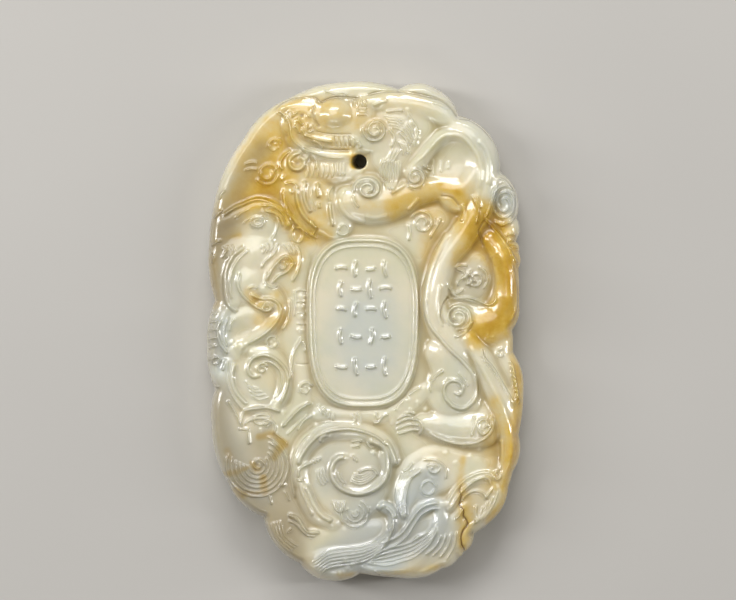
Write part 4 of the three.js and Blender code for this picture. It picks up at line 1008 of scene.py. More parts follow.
across = abs(face.x - CARTOUCHE_CENTRE[0]) / CARTOUCHE_HALF_WIDTH
across /= 1 - CARTOUCHE_NARROWING * (CARTOUCHE_CENTRE[1] - face.y)
along = abs(face.y - CARTOUCHE_CENTRE[1]) / CARTOUCHE_HALF_LENGTH
reach = (across ** SQUARENESS + along ** SQUARENESS) ** (1 / SQUARENESS)


def cartouche_path(part):
    """The closed line where |across|³ + |along|³ is part³, narrowed towards the foot."""
    turn = np.linspace(0, 2 * np.pi, 181)
    c, s = np.cos(turn), np.sin(turn)
    length = (abs(c) ** SQUARENESS + abs(s) ** SQUARENESS) ** (-1 / SQUARENESS) * part
    y = CARTOUCHE_CENTRE[1] + CARTOUCHE_HALF_LENGTH * s * length
    narrow = 1 - CARTOUCHE_NARROWING * (CARTOUCHE_CENTRE[1] - y)
    return np.column_stack([CARTOUCHE_CENTRE[0] + CARTOUCHE_HALF_WIDTH * c * length * narrow, y])


field = FIELD + FIELD_SWELL * (1 - np.clip(reach, 0, 1) ** 2)
field = field - WALL_SLOPE * np.clip(reach - RIM_PART, 0, 1) ** WALL_CURVE
face.z = np.where(reach < RIM_PART, field, np.maximum(face.z, field))
trace(cartouche_path(RIM_PART), 0.75, 0.34, NO_FADE)
trace(cartouche_path(INNER_RIM_PART), 0.42, 0.16, NO_FADE)
print("cartouche, mm:", 2 * CARTOUCHE_HALF_WIDTH, "by", 2 * CARTOUCHE_HALF_LENGTH)

# %% Rows of strokes on the cartouche
ROW_LEVELS = [8.7, 5.9, 3.0, -0.7, -4.9]
STROKES_PER_ROW = 4
STROKE_PITCH = 2.05
UPRIGHT_LENGTH = 2.7
LEVEL_LENGTH = 1.7
SHORTEST_PART = 0.75
LEAN = 0.2
BOW = 0.22
steps = np.linspace(-1, 1, 5)[:, None]
dice = np.random.default_rng(7)
for row, level in enumerate(ROW_LEVELS):
    for number in range(STROKES_PER_ROW):
        upright = (row + number) % 2
        middle = np.array([CARTOUCHE_CENTRE[0] + (number - (STROKES_PER_ROW - 1) / 2) * STROKE_PITCH, level])
        turn = np.pi / 2 * upright + dice.uniform(-LEAN, LEAN)
        half = (UPRIGHT_LENGTH if upright else LEVEL_LENGTH) / 2 * dice.uniform(SHORTEST_PART, 1)
        ahead = half * np.array([np.cos(turn), np.sin(turn)])
        bow = dice.choice([-BOW, BOW]) * np.array([-ahead[1], ahead[0]])
        line(middle + steps * ahead + (1 - steps ** 2) * bow, 0.55, 0.3)
print("strokes on the cartouche:", len(ROW_LEVELS) * STROKES_PER_ROW)

# %% [markdown]
# **The rounded rim.** The face falls over the rim in a quarter ellipse, so that
# the pendant feels soft in the hand. The carving runs over the edge with it. At
# the end the face is fitted to the height of the solid, so it fills the same box.

# %% Rim and top
BELLY = 3.9
FACE_ROUND = 1.3
TOP_ROOM = 0.01
closed_outline = np.vstack([outline, outline[:1]])
_, edge_distance, _, _ = measure(face.x, face.y, closed_outline, LENGTH)
edge_distance = edge_distance.reshape(face.x.shape)
inward = np.clip(1 - edge_distance / FACE_ROUND, 0, 1)
face.polish(1)
face.z = BELLY + (face.z - BELLY) * np.sqrt(1 - inward ** 2)
above_ground = np.clip(face.z - GROUND, 0, None)
face.z += above_ground * ((high[2] - TOP_ROOM - GROUND) / above_ground.max() - 1)
print("face fills the solid's height:", face.highest(), "of", high[2].round(2), "mm")

# %% [markdown]
# **Closing the body.** Rings of points run down from the rim: over the rounding to
# the belly, down the wall, and in under the back. The wall needs fewer points than
# the face, and the back fewer still, so at both places two points meet one. The cord
# hole gets a lining of rings in the same way, from the opening in the face to a
# second one in the back.

# %% Faces between points
def rim_of(shape, first=(0, 0), size=None):
    """Numbers of the points round a block of a sheet, anticlockwise from its lower left corner."""
    down, right = size or (shape[0] - 1, shape[1] - 1)
    number = np.arange(shape[0] * shape[1]).reshape(shape)
    block = number[first[0]:first[0] + down + 1, first[1]:first[1] + right + 1]
    return np.concatenate([block[0, :-1], block[:-1, -1], block[-1, :0:-1], block[:0:-1, 0]])


def sheet_faces(shape, hole, block):
    """Squares between neighbouring points, without those inside the opened block."""
    number = np.arange(shape[0] * shape[1]).reshape(shape)
    squares = np.stack([number[:-1, :-1], number[:-1, 1:], number[1:, 1:], number[1:, :-1]], axis=-1)
    row, column = np.indices(squares.shape[:2])
    opened = (row >= hole[0]) & (row < hole[0] + block) & (column >= hole[1]) & (column < hole[1] + block)
    return squares[~opened]


squares = [sheet_faces(face.x.shape, face_hole, FACE_BLOCK)]
threes = []


def join(upper, lower):
    """Adds the faces between two rings: squares where they have equal numbers of points, and
    three-cornered ones where two points meet one."""
    after = np.roll(lower, -1)
    if len(upper) == len(lower):
        squares.append(np.stack([upper, lower, after, np.roll(upper, -1)], axis=-1))
        return
    even, odd = upper[::2], upper[1::2]
    for corners in ((even, lower, odd), (odd, lower, after), (odd, after, np.roll(even, -1))):
        threes.append(np.stack(corners, axis=-1))


print("squares of the face:", len(squares[0]))

# %% Rings of the side wall
BACK_ROUND = 1.1
ROUNDING_RINGS = 4
skin_points = [np.column_stack([face.x.ravel(), face.y.ravel(), face.z.ravel()])]
face_rim = rim_of(face.x.shape)
rim_places = skin_points[0][face_rim[::2]]
rim_angle = np.arctan2(rim_places[:, 1], rim_places[:, 0])
rim_radius = np.interp(rim_angle, outline_angle, outline_radius, period=2 * np.pi)
rim_turn = np.arcsin(1 - RIM_INSET / FACE_ROUND)
rim_top = BELLY + (rim_places[:, 2] - BELLY) / np.cos(rim_turn)


def add_points(places):
    """Adds points to the skin and returns their numbers."""
    first = sum(len(part) for part in skin_points)
    skin_points.append(places)
    return np.arange(first, first + len(places))


def wall_ring(inset, level):
    """A ring of the side wall: the outline less an inset, at this level above the back."""
    radius = rim_radius - inset
    level = np.broadcast_to(level, radius.shape)
    return add_points(np.column_stack([radius * np.cos(rim_angle), radius * np.sin(rim_angle), level]))


ring = face_rim
for turn in np.linspace(rim_turn, np.pi / 2, ROUNDING_RINGS + 1)[1:]:
    lower_ring = wall_ring(FACE_ROUND * (1 - np.sin(turn)), BELLY + (rim_top - BELLY) * np.cos(turn))
    join(ring, lower_ring)
    ring = lower_ring
for turn in np.linspace(0, np.pi / 2, ROUNDING_RINGS + 1)[:-1]:
    lower_ring = wall_ring(BACK_ROUND * (1 - np.cos(turn)), BACK_ROUND * (1 - np.sin(turn)))
    join(ring, lower_ring)
    ring = lower_ring
print("face and wall:", ring[-1] + 1, "points")

# %% Back
HOLE_LEAN = np.array([0.7, 0.4])
BACK_ACROSS = CELLS_ACROSS // 4
BACK_ALONG = CELLS_ALONG // 4
BACK_BLOCK = 6
BACK_FADE = 3
BACK_OPENING = 2.1

back = bent_grid(BACK_ACROSS, BACK_ALONG, BACK_ROUND)
back_hole = open_hole(back, HOLE + HOLE_LEAN, BACK_OPENING, BACK_BLOCK, BACK_FADE)
back_numbers = add_points(np.column_stack([back.reshape(-1, 2), np.zeros(back.shape[0] * back.shape[1])]))
join(ring, back_numbers[rim_of(back.shape[:2])])
squares.append(back_numbers[sheet_faces(back.shape[:2], back_hole, BACK_BLOCK)[:, ::-1]])
print("back:", len(back_numbers), "points")

# %% Lining of the cord hole
FLARE_DEPTH = 1.2
BACK_FLARE = 0.3
SHAFT_PARTS = (0.7, 0.4, 0.12)
quarter_turn = np.linspace(0, np.pi / 2, 4)

hole_rim = rim_of(face.x.shape, face_hole, (FACE_BLOCK, FACE_BLOCK))
hole_places = skin_points[0][hole_rim]
hole_angle = np.arctan2(hole_places[:, 1] - HOLE[1], hole_places[:, 0] - HOLE[0])
hole_top = hole_places[:, 2]


def lining_ring(radius, level):
    """A ring of the hole's wall. Its middle leans from the face's opening to the back's."""
    level = np.broadcast_to(level, hole_top.shape)
    part = 1 - level / hole_top.mean()
    middle = HOLE + np.multiply.outer(part, HOLE_LEAN)
    x = middle[:, 0] + radius * np.cos(hole_angle)
    y = middle[:, 1] + radius * np.sin(hole_angle)
    return add_points(np.column_stack([x, y, level]))


def from_inside(ring):
    """The same ring the other way round, from the same first point, for a wall seen from inside."""
    return np.roll(ring[::-1], 1)


ring = hole_rim
flare_in = HOLE_FLARE * (1 - np.sin(quarter_turn[1:]))
depth_in = FLARE_DEPTH * (1 - np.cos(quarter_turn[1:]))
flare_out = HOLE_FLARE * (1 - np.cos(quarter_turn))
height_out = BACK_FLARE * (1 - np.sin(quarter_turn))
levels = [(HOLE_RADIUS + flare, hole_top - depth) for flare, depth in zip(flare_in, depth_in)]
levels += [(HOLE_RADIUS, hole_top * part) for part in SHAFT_PARTS]
levels += [(HOLE_RADIUS + flare, height) for flare, height in zip(flare_out, height_out)]
for radius, level in levels:
    lower_ring = lining_ring(radius, level)
    join(from_inside(ring), from_inside(lower_ring))
    ring = lower_ring
back_edge = back_numbers[rim_of(back.shape[:2], back_hole, (BACK_BLOCK, BACK_BLOCK))]
join(from_inside(ring), from_inside(back_edge))
print("hole lined, top of its wall, mm:", hole_top.min().round(2), "to", hole_top.max().round(2))

# %% [markdown]
# ** Colour in the stone.** A pebble of nephrite has a skin of rusty brown, because
# iron soaks in where it lay in a river bed, and the carver leaves some of it for
# its colour. Here it keeps to the right-hand limb, the head and the upper left, and
# it follows cracks. One stroke of the same amber is painted light: it colours the
# left wall of the cord hole as if that wall were lit. The same measuring that raised
# the limbs paints these places, as numbers that are stored on the points and read by
# the material. A noise alone could make such patches, but not where this stone has them.

# %% Marks on the points
points = np.vstack(skin_points)
marks = {}
wall_fade = np.clip(points[:, 2] / GROUND, 0, 1) ** 1.5


def paint(name, strokes, softness=2.0):
    """Adds strokes to a mark. Each is strength·(1 − q²)^softness round its path, and where two
    meet, what is left of white after both is the product of what each leaves. Down the side
    wall every stroke fades away."""
    mark = marks.setdefault(name, np.zeros(len(points)))
    for path, width, strength in strokes:
        near, distance, part, _ = measure(points[:, 0], points[:, 1], smooth_path(path), np.max(width) / 2)
        q = np.clip(distance / (spread(width, part) / 2), 0, 1)
        strength = spread(strength, part) * wall_fade[near]
        mark[near] = 1 - (1 - mark[near]) * (1 - strength * (1 - q ** 2) ** softness)
    print(name, "covers", round(100 * float((mark > 0.2).mean())), "% after", len(strokes), "strokes")


# %% Amber: head, border and small dragon, and painted light in the cord hole
paint("skin_and_hole_light", [
    ([(-14.5, 20.5), (-13.7, 24.7), (-10.9, 28.2), (-6.4, 29.6), (-0.8, 29.3), (2.7, 28.4)],
     [10, 13, 12, 10, 7, 5], [0.85, 0.75, 0.6, 0.42, 0.3]),
    ([(-11.5, 31), (-7.5, 31.8), (-4.3, 31.8)], [4, 4, 3], 0.3),
    ([(-16.9, 17.7), (-15.4, 21.2), (-14, 24), (-12.6, 25.9)], [7, 9, 9, 6], 0.6),
    ([(-19.6, 16.7), (-17.6, 18.9), (-14.5, 20)], [4, 6, 5], 0.6),
    # Painted light: the left wall of the cord hole, tinted amber as if lit
    ([(-1.7, 23.1), (-1.5, 24)], 2.0, 0.95),
    ([(-10.9, 21.4), (-10.6, 17.7), (-8.4, 14.2), (-6.1, 13)], [8, 8, 7, 5], 0.65),
    ([(-8.5, 23.3), (-5, 22.3)], 6, 0.35),
    ([(-6.7, 20.3), (-6.1, 17.7), (-5.6, 15.3)], 6, 0.5),
    ([(-2.2, 28.9), (4.8, 25.4), (3.4, 21.2)], [12, 16, 14], 0.1),
    ([(-6.7, 26.5), (-2.9, 25.4), (-1.1, 24)], [4, 5, 4], 0.4),
    ([(-19.3, 13), (-17.6, 16.7), (-14.5, 18.1), (-11.3, 16.3)], [8, 10, 8, 6], 0.4),
    ([(-11.3, 17.7), (-9.2, 14.4), (-9.8, 9.7)], [6, 7, 5], 0.45),
    ([(-0.5, 31.8), (4.1, 32.1), (9, 31.2)], 6, 0.25),
    ([(-2.9, 17.7), (2.7, 17.7), (8.3, 19.1)], [5, 7, 7], 0.35),
    ([(4.1, 16.7), (8.3, 18.4), (12.1, 18.9), (14.6, 17.2), (16.3, 14.2)], [6, 8, 9, 9, 8], 0.6),
    ([(8.3, 9.7), (9.3, 12.8), (11.5, 14.9)], [5, 7, 7], 0.5),
    ([(12.5, 9.7), (14.3, 12.1), (16, 14.4)], [4, 7, 9], 0.65),
    ([(10.4, 20.3), (12.9, 19.3), (14, 17.4)], [2, 2.4, 2], 0.6),
    ([(16.3, 14.9), (18.8, 11.4), (19.9, 7.9), (19.9, 4.4), (18.4, 1.6), (15.7, -0.1)],
     [9, 10, 10, 10, 11, 8], 0.95),
    ([(21.2, 11.4), (21.7, 5.8), (20.7, -0.5)], 4, 0.7),
    ([(21, -2.6), (21.9, -7.5), (21.3, -12.4), (20.6, -18), (19.8, -23.6), (17.4, -26.4)],
     [4, 5, 5, 5, 4, 3], 0.95),
    ([(17.7, -9.6), (18.4, -15.2), (17.7, -20.6)], [4, 7, 5], 0.5),
    ([(13.5, -17.5), (13.2, -20.8), (13.9, -25), (14, -30.9)], [1.6, 2.8, 5, 4], [0.4, 0.5, 0.6, 0.6]),
    ([(16, -23.6), (17.4, -22.2)], 6, 0.3),
    ([(-16.2, 5.5), (-14.5, 3.7), (-12.3, 4.4), (-11.7, 1.8), (-14.5, 1.8)], [3, 5, 5, 5, 5], 0.5),
    ([(-13.1, 8.3), (-11.3, 9.7), (-10.6, 6.5)], 5, 0.35),
    ([(-12, 0.2), (-11.3, -6.8), (-14.5, -5.7)], [5, 6, 6], 0.22),
    ([(-21.4, 9.7), (-21.5, 6.5), (-21.3, 4.1)], 3, 0.7),
    ([(-3.6, -34.1), (2, -34), (10.7, -32.9)], 2.4, 0.45),
    ([(-20.1, 13), (-17.6, 13.3)], 1.2, 0.6),
    ([(9, -16.9), (14.6, -16.4), (17.4, -15.2)], 6, 0.2),
])

# %% [markdown]
# ** Rust stains.** Over the ripples lie a few small blots. They are browner and duller
# than the amber, so each is painted twice: as skin, and more weakly with the
# grey-brown that elsewhere is painted shade.

# %% Rust stains over the ripples
STAINS = [
    ([(-19.7, -19.9), (-18.2, -19.6), (-16.4, -18.9)], [1.4, 1.8, 1.0], [0.85, 0.7, 0.5]),
    ([(-18.2, -22.1), (-17.3, -22.8)], [1.6, 2.2], 0.75),
    ([(-16.6, -22.5), (-15.1, -22.5)], [1.4, 1.2], 0.55),
    ([(-14.3, -20.4), (-14.1, -22.2)], [1.8, 2.2], [0.85, 0.7]),
    ([(-15.8, -18.3), (-15.1, -19.2)], [1.4, 1.8], 0.75),
    ([(-19.3, -16.6), (-18.9, -17.6)], 1.8, 0.4),
    ([(-14.8, -14.7), (-13.1, -14.3)], [1.8, 2.2], 0.7),
    ([(-12.3, -14.8), (-11.3, -15.7)], [1.4, 2.2], 0.7),
    ([(-12.2, -16.5), (-12.7, -17.5)], [2.2, 1.8], 0.7),
]
paint("skin_and_hole_light", STAINS)

# %% [markdown]
# ** Paler stone and painted shade.** The waves at the foot, the cartouche and the
# cloud at the right are cooler and whiter than the body. A grey-brown painted shade
# darkens the stone where it stands in its own shade, above all along the left edge.

# %% Pale, and painted shade
paint("pale", [
    ([(-21.5, -8.9), (-19.7, -15.9), (-15.1, -23.6)], [8, 11, 8], 0.6),
    ([(-5, -32), (-0.8, -30.6), (4.8, -27.1), (9, -27.8)], [8, 14, 16, 12], 0.85),
    ([(2.7, -31.3), (7.6, -24.3), (9, -20.8)], [10, 12, 9], 0.7),
    ([(19.3, 18.4), (19.5, 18.2)], 9, 0.6),
    ([(0, 1.6), (0, -3.3)], 22, 0.6),
    ([(-5, -13.8), (-5, -20.8), (2.7, -19.4), (-2.2, -23.6)], 14, 0.4),
    ([(13.2, -2.6), (13.5, -9.6), (10.4, -13.6)], 10, 0.3),
    ([(-21.3, 1.6), (-21, -4.7)], 7, 0.5),
    ([(-18.7, 6.5), (-20.1, -1.9), (-18.7, -6.8), (-14.5, -9.6)], 7, 0.3),
    ([(9, 33.1), (14.6, 28.9), (18.2, 23.3)], 6, 0.4),
])
paint("shade_and_stain", [
    ([(-20.1, 14.9), (-21.5, 10), (-21.4, 4.4)], [9, 9, 7], 0.9),
    ([(-14.5, 25.4), (-18.2, 19.8), (-20.1, 14.9)], [5, 6, 8], 0.6),
    ([(-21.3, -8.9), (-19.9, -15.2), (-16.9, -22.2), (-12.7, -27.1), (-9.2, -32)], [7, 8, 9, 8, 5], 0.75),
    ([(-14.5, -15.9), (-12.7, -20.1), (-10.6, -24.3), (-9.8, -27.8)], 8, 0.6),
    ([(-21.5, 0.9), (-21.5, -4)], 4, 0.5),
    ([(14.6, 7.9), (15.4, 5.8)], 8, 0.3),
    ([(-6.4, -33.4), (2, -27.8), (10.4, -29.2), (14.6, -25)], 12, 0.25),
    ([(-5, -15.9), (-2.9, -20.8), (1.3, -18.7)], 12, 0.15),
])
# The same grey-brown, weaker, as the dull colour of the rust stains
paint("shade_and_stain", [(path, width, 0.3) for path, width, _ in STAINS])

# %% [markdown]
# **Thin dark veins.** A crack at the lower right has drawn in dark dirt, and a cut
# behind the neck holds the same. They are far thinner than a cell of the sheet, so
# painting them on the points would leave them ragged. The points store the signed
# distance from the line instead. That changes evenly across a cell, and the
# material turns it into a fine line wherever it passes through zero.

# %% Veins
NECK_CUT = [(16.8, 16), (16.1, 14.7), (15.7, 13.9), (16, 12.8), (16.4, 11.8)]
GROOVE_STAIN = [(10.4, 18.9), (11.9, 18.6), (13, 17.4)]
VEIN_REACH = 1.2
VEIN_FADE = 0.08

marks["vein side"] = np.full(len(points), VEIN_REACH)
marks["vein strength"] = np.zeros(len(points))
for vein_path, strength in ((CRACK, [0.3, 0.6, 0.85]), (NECK_CUT, 0.3), (GROOVE_STAIN, 0.2)):
    near, distance, part, side = measure(points[:, 0], points[:, 1], smooth_path(vein_path), VEIN_REACH)
    inside = distance < VEIN_REACH
    which = np.flatnonzero(near)[inside]
    marks["vein side"][which] = (side * distance)[inside]
    ends = np.clip(np.minimum(part, 1 - part) / VEIN_FADE, 0, 1)
    drawn = spread(strength, part) * ends * wall_fade[near] * (distance < 0.8 * VEIN_REACH)
    marks["vein strength"][which] = drawn[inside]
print("points near a vein:", np.count_nonzero(marks["vein strength"]))

# %% [markdown]
# ** Hollows.** Hollows are painted deeper in tone than the crests: partly as wax and
# dirt that settle where a cloth can't reach, partly as painted shade. They are duller
# too, and this makes low carving easy to read. A point counts as sunk by how far it
# lies under a blurred copy of the face. Towards the rim this fades out, because there
# the face falls away, and that isn't a hollow.

# %% Hollows, and the lines kept for the material
HOLLOW_ROUNDS = 60
FREE_EDGE = 12


def blurred(values, rounds):
    """Each round replaces every value by a quarter, a half and a quarter of itself and its neighbours."""
    for _ in range(rounds):
        padded = np.pad(values, 1, mode="edge")
        rows = (padded[:-2, 1:-1] + 2 * padded[1:-1, 1:-1] + padded[2:, 1:-1]) / 4
        padded = np.pad(rows, 1, mode="edge")
        values = (padded[1:-1, :-2] + 2 * padded[1:-1, 1:-1] + padded[1:-1, 2:]) / 4
    return values


for channel in range(CHANNELS):
    for kind, values, nothing in (("side", line_side, OFF_LINE), ("rise", line_rise, 0.0)):
        mark_name = f"line {kind} {channel}"
        marks[mark_name] = np.full(len(points), nothing)
        marks[mark_name][:face.z.size] = values[channel].ravel()

rows, columns = np.indices(face.z.shape)
from_edge = np.minimum(np.minimum(rows, rows[::-1]), np.minimum(columns, columns[:, ::-1]))
sunk = np.clip(blurred(face.z, HOLLOW_ROUNDS) - face.z, -1, 1) * np.clip(from_edge / FREE_EDGE, 0, 1)
marks["hollow_shade_and_dirt"] = np.zeros(len(points))
marks["hollow_shade_and_dirt"][:face.z.size] = sunk.ravel()
print("deepest hollow, mm:", marks["hollow_shade_and_dirt"].max().round(2))

# %% [markdown]
# **One mesh.** Faces could be added one by one, but for so many whole arrays are
# quicker: the places, the corner numbers and where each face starts are each handed
# over at once. Points that no face uses, inside the opened blocks, are left out. The
# plan is fitted into the box of the solid, and every mark goes along as an attribute.

# %% The pendant's mesh
SIDE_ROOM = 0.005
squares = np.vstack(squares)
threes = np.vstack(threes)
quads = len(squares)
triangles = len(threes)
flat = np.concatenate([squares.ravel(), threes.ravel()])
used, corners = np.unique(flat, return_inverse=True)
face_starts = np.concatenate([np.arange(quads) * 4, quads * 4 + np.arange(triangles) * 3])

places = points[used]
mesh_low = places.min(axis=0)
fit = (high - low - 2 * SIDE_ROOM) / (places.max(axis=0) - mesh_low)
places[:, :2] = (low + SIDE_ROOM + (places - mesh_low) * fit)[:, :2]

mesh = bpy.data.meshes.new("jade_pendant")
mesh.vertices.add(len(places))
mesh.vertices.foreach_set("co", (places * MM).ravel())
mesh.loops.add(len(corners))
mesh.loops.foreach_set("vertex_index", corners.ravel())
mesh.polygons.add(quads + triangles)
mesh.polygons.foreach_set("loop_start", face_starts)
mesh.polygons.foreach_set("use_smooth", np.ones(quads + triangles, bool))
mesh.update(calc_edges=True)
for name, values in marks.items():
    attribute = mesh.attributes.new(name, "FLOAT", "POINT")
    attribute.data.foreach_set("value", values[used])
pendant = bpy.data.objects.new("jade_pendant", mesh)
bpy.context.scene.collection.objects.link(pendant)
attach(pendant, "root")
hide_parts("pendant")
print("pendant:", 2 * quads + triangles, "triangles, valid:", not mesh.validate(), "fit", fit[:2].round(4))

# %% [markdown]
# **The jade.** Nephrite is a felt of fine fibres. Polished, it has a soft, waxy
# gloss, and light enters it and comes out again a millimetre away, so grooves glow
# instead of going black. That is subsurface scattering. One small function adds
# each node with its settings and links. Colours are given as sRGB hex, as a colour
# picker shows them, and one function turns them to linear values. Every pattern's
# scale comes from its size on the stone in millimetres.

# %% Helpers for materials
def linear(code):
    """sRGB to linear: c/12.92 below 0.04045, and ((c + 0.055)/1.055) to the power 2.4 above."""
    channels = [int(code[k:k + 2], 16) / 255 for k in (1, 3, 5)]
    return tuple(c / 12.92 if c <= 0.04045 else ((c + 0.055) / 1.055) ** 2.4 for c in channels) + (1.0,)


def start_material(name):
    """A new material without nodes, and its node tree."""
    material = bpy.data.materials.new(name)
    material.use_nodes = True
    material.node_tree.nodes.clear()
    return material, material.node_tree


def add(kind, inputs, output=0, **settings):
    """Adds a node to the tree in hand. Each input is a value or a socket to link. Returns an output."""
    node = tree.nodes.new("ShaderNode" + kind)
    for name, value in settings.items():
        setattr(node, name, value)
    for name, value in inputs.items():
        if isinstance(value, bpy.types.NodeSocket):
            tree.links.new(value, node.inputs[name])
        else:
            node.inputs[name].default_value = value
    return node.outputs[output] if node.outputs else node


def per_mm(size):
    """Noise scale for features of about this many millimetres: Object coordinates are in metres."""
    return 1 / (size * MM)


jade, tree = start_material("nephrite, wheel-polished")
where = add("TexCoord", {}, "Object")
print("mid grey in linear light:", round(linear("#808080")[0], 3))

# %% [markdown]
# ** The colour of the stone.** The clouds of cream and a greener cream give the eye
# depth, where one flat colour would look like plastic. Over them go the marks, from
# the ground up: pale stone, amber skin (with painted light in the cord hole), russet
# where the skin is strongest, a grey-brown of painted shade and stain, and last a
# tint of the hollows that is painted shade and dirt. Noise breaks the edge of each
# patch of skin.

# %% Nephrite: the stone and its skin
CLOUD_SIZE = 7
PATCH_SIZE = 2.6
CREAM = linear("#E7DFC5")
GREENISH = linear("#DBD7BB")
PALE = linear("#CACFCA")
AMBER = linear("#DCB849")
RUSSET = linear("#BC9018")
SHADE_AND_STAIN = linear("#A19272")
SHADE_AND_DIRT_TINT = linear("#C6B682")
SMOOTH = {"interpolation_type": "SMOOTHSTEP"}
# A Mix node has sockets for numbers, vectors and colours: its colours are inputs 6 and 7, output 2
COLOUR = {"data_type": "RGBA"}

skin_and_hole_light_mark = add("Attribute", {}, "Fac", attribute_name="skin_and_hole_light")
pale_mark = add("Attribute", {}, "Fac", attribute_name="pale")
shade_and_stain_mark = add("Attribute", {}, "Fac", attribute_name="shade_and_stain")
hollow_shade_and_dirt_mark = add("Attribute", {}, "Fac", attribute_name="hollow_shade_and_dirt")
cloudy = add("TexNoise", {"Vector": where, "Scale": per_mm(CLOUD_SIZE), "Detail": 4.0, "Roughness": 0.6})
patchy = add("TexNoise", {"Vector": where, "Scale": per_mm(PATCH_SIZE), "Detail": 5.0, "Roughness": 0.62})

share = add("MapRange", {"Value": cloudy, "From Min": 0.35, "From Max": 0.68}, **SMOOTH)
colour = add("Mix", {"Factor": share, 6: CREAM, 7: GREENISH}, 2, **COLOUR)
share = add("Math", {0: cloudy, 1: 0.3, 2: pale_mark}, operation="MULTIPLY_ADD")
share = add("MapRange", {"Value": share, "From Min": 0.2}, **SMOOTH)
colour = add("Mix", {"Factor": share, 6: colour, 7: PALE}, 2, **COLOUR)
patch_share = add("MapRange", {"Value": skin_and_hole_light_mark, "From Min": 0.05, "From Max": 0.4, "To Max": 0.9},
                  **SMOOTH)
patch = add("Math", {0: patchy, 1: 0.5}, operation="SUBTRACT")
skin_and_hole_light = add("Math", {0: patch, 1: patch_share, 2: skin_and_hole_light_mark}, operation="MULTIPLY_ADD")
share = add("MapRange", {"Value": skin_and_hole_light, "From Max": 0.95, "To Max": 0.95}, **SMOOTH)
colour = add("Mix", {"Factor": share, 6: colour, 7: AMBER}, 2, **COLOUR)
share = add("MapRange", {"Value": skin_and_hole_light, "From Min": 0.7, "From Max": 1.15, "To Max": 0.8}, **SMOOTH)
colour = add("Mix", {"Factor": share, 6: colour, 7: RUSSET}, 2, **COLOUR)
colour = add("Mix", {"Factor": shade_and_stain_mark, 6: colour, 7: SHADE_AND_STAIN}, 2, **COLOUR)
# Painted shade and dirt: sunk points are tinted deeper in tone
hollow_shade_and_dirt = add("MapRange", {"Value": hollow_shade_and_dirt_mark, "From Min": 0.02, "From Max": 0.35}, **SMOOTH)
share = add("Math", {0: hollow_shade_and_dirt, 1: 0.7}, operation="MULTIPLY")
colour = add("Mix", {"Factor": share, 6: colour, 7: SHADE_AND_DIRT_TINT}, 2, blend_type="MULTIPLY", **COLOUR)
print("nodes up to the colour of the stone:", len(tree.nodes))

# %% [markdown]
# **Veins in the stone.** A vein is dark where its stored distance is near zero, with a
# halo of amber that has soaked in beside it. A little noise on the distance makes it
# wander, as a crack does. On the stone it is thinner than a pixel, so it is drawn as
# coarse as it needs to show.

# %% Nephrite: veins
VEIN = linear("#6A3A14")
VEIN_HALF_WIDTH = 0.065
WANDER_SIZE = 0.9
vein_side = add("Attribute", {}, "Fac", attribute_name="vein side")
vein_strength = add("Attribute", {}, "Fac", attribute_name="vein strength")
wobble = add("TexNoise", {"Vector": where, "Scale": per_mm(WANDER_SIZE)})
wobble = add("Math", {0: wobble, 1: 0.25, 2: -0.125}, operation="MULTIPLY_ADD")
off_line = add("Math", {0: vein_side, 1: wobble}, operation="ADD")
off_line = add("Math", {0: off_line}, operation="ABSOLUTE")
halo = add("MapRange", {"Value": off_line, "From Min": 0.9, "From Max": 0.1, "To Max": 0.7}, **SMOOTH)
halo = add("Math", {0: halo, 1: vein_strength}, operation="MULTIPLY")
colour = add("Mix", {"Factor": halo, 6: colour, 7: AMBER}, 2, **COLOUR)
vein_edges = {"From Min": VEIN_HALF_WIDTH * 1.7, "From Max": VEIN_HALF_WIDTH * 0.4}
vein = add("MapRange", {"Value": off_line, **vein_edges}, **SMOOTH)
vein = add("Math", {0: vein, 1: vein_strength}, operation="MULTIPLY")
colour = add("Mix", {"Factor": vein, 6: colour, 7: VEIN}, 2, **COLOUR)
print("vein, mm wide:", 2 * VEIN_HALF_WIDTH)

# %% [markdown]
# **The polished surface.** A wheel-polished stone isn't a mirror: it has slow waves
# from the wheel, a faint grain and here and there a pit where a fibre bundle broke
# out. The fibres of nephrite are far under a tenth of a millimetre, too fine to show,
# so the grain is drawn coarser. All of it is summed as one height with the stored
# lines and turned to a bump. To the eye it gives a waxy gleam that breaks up along
# the cuts.

# %% Nephrite: polish, pits and sharp lines
PIT_SPACING = 1.9
PITTED_AREA = 4
WHEEL_WAVE = 1.6
GRAIN_DRAWN = 0.25
pits = add("TexVoronoi", {"Vector": where, "Scale": per_mm(PIT_SPACING)})
pits = add("MapRange", {"Value": pits, "From Min": 0.05, "From Max": 0.0})
pitted = add("TexNoise", {"Vector": where, "Scale": per_mm(PITTED_AREA)})
pitted = add("MapRange", {"Value": pitted, "From Min": 0.5, "From Max": 0.62, "To Max": -0.03})
ripple = add("TexNoise", {"Vector": where, "Scale": per_mm(WHEEL_WAVE)})
grain = add("TexNoise", {"Vector": where, "Scale": per_mm(GRAIN_DRAWN)})
relief = add("Math", {0: ripple, 1: 0.02}, operation="MULTIPLY")
relief = add("Math", {0: grain, 1: 0.003, 2: relief}, operation="MULTIPLY_ADD")
relief = add("Math", {0: pits, 1: pitted, 2: relief}, operation="MULTIPLY_ADD")
relief = add("Math", {0: vein, 1: -0.05, 2: relief}, operation="MULTIPLY_ADD")
cuts = 0.0
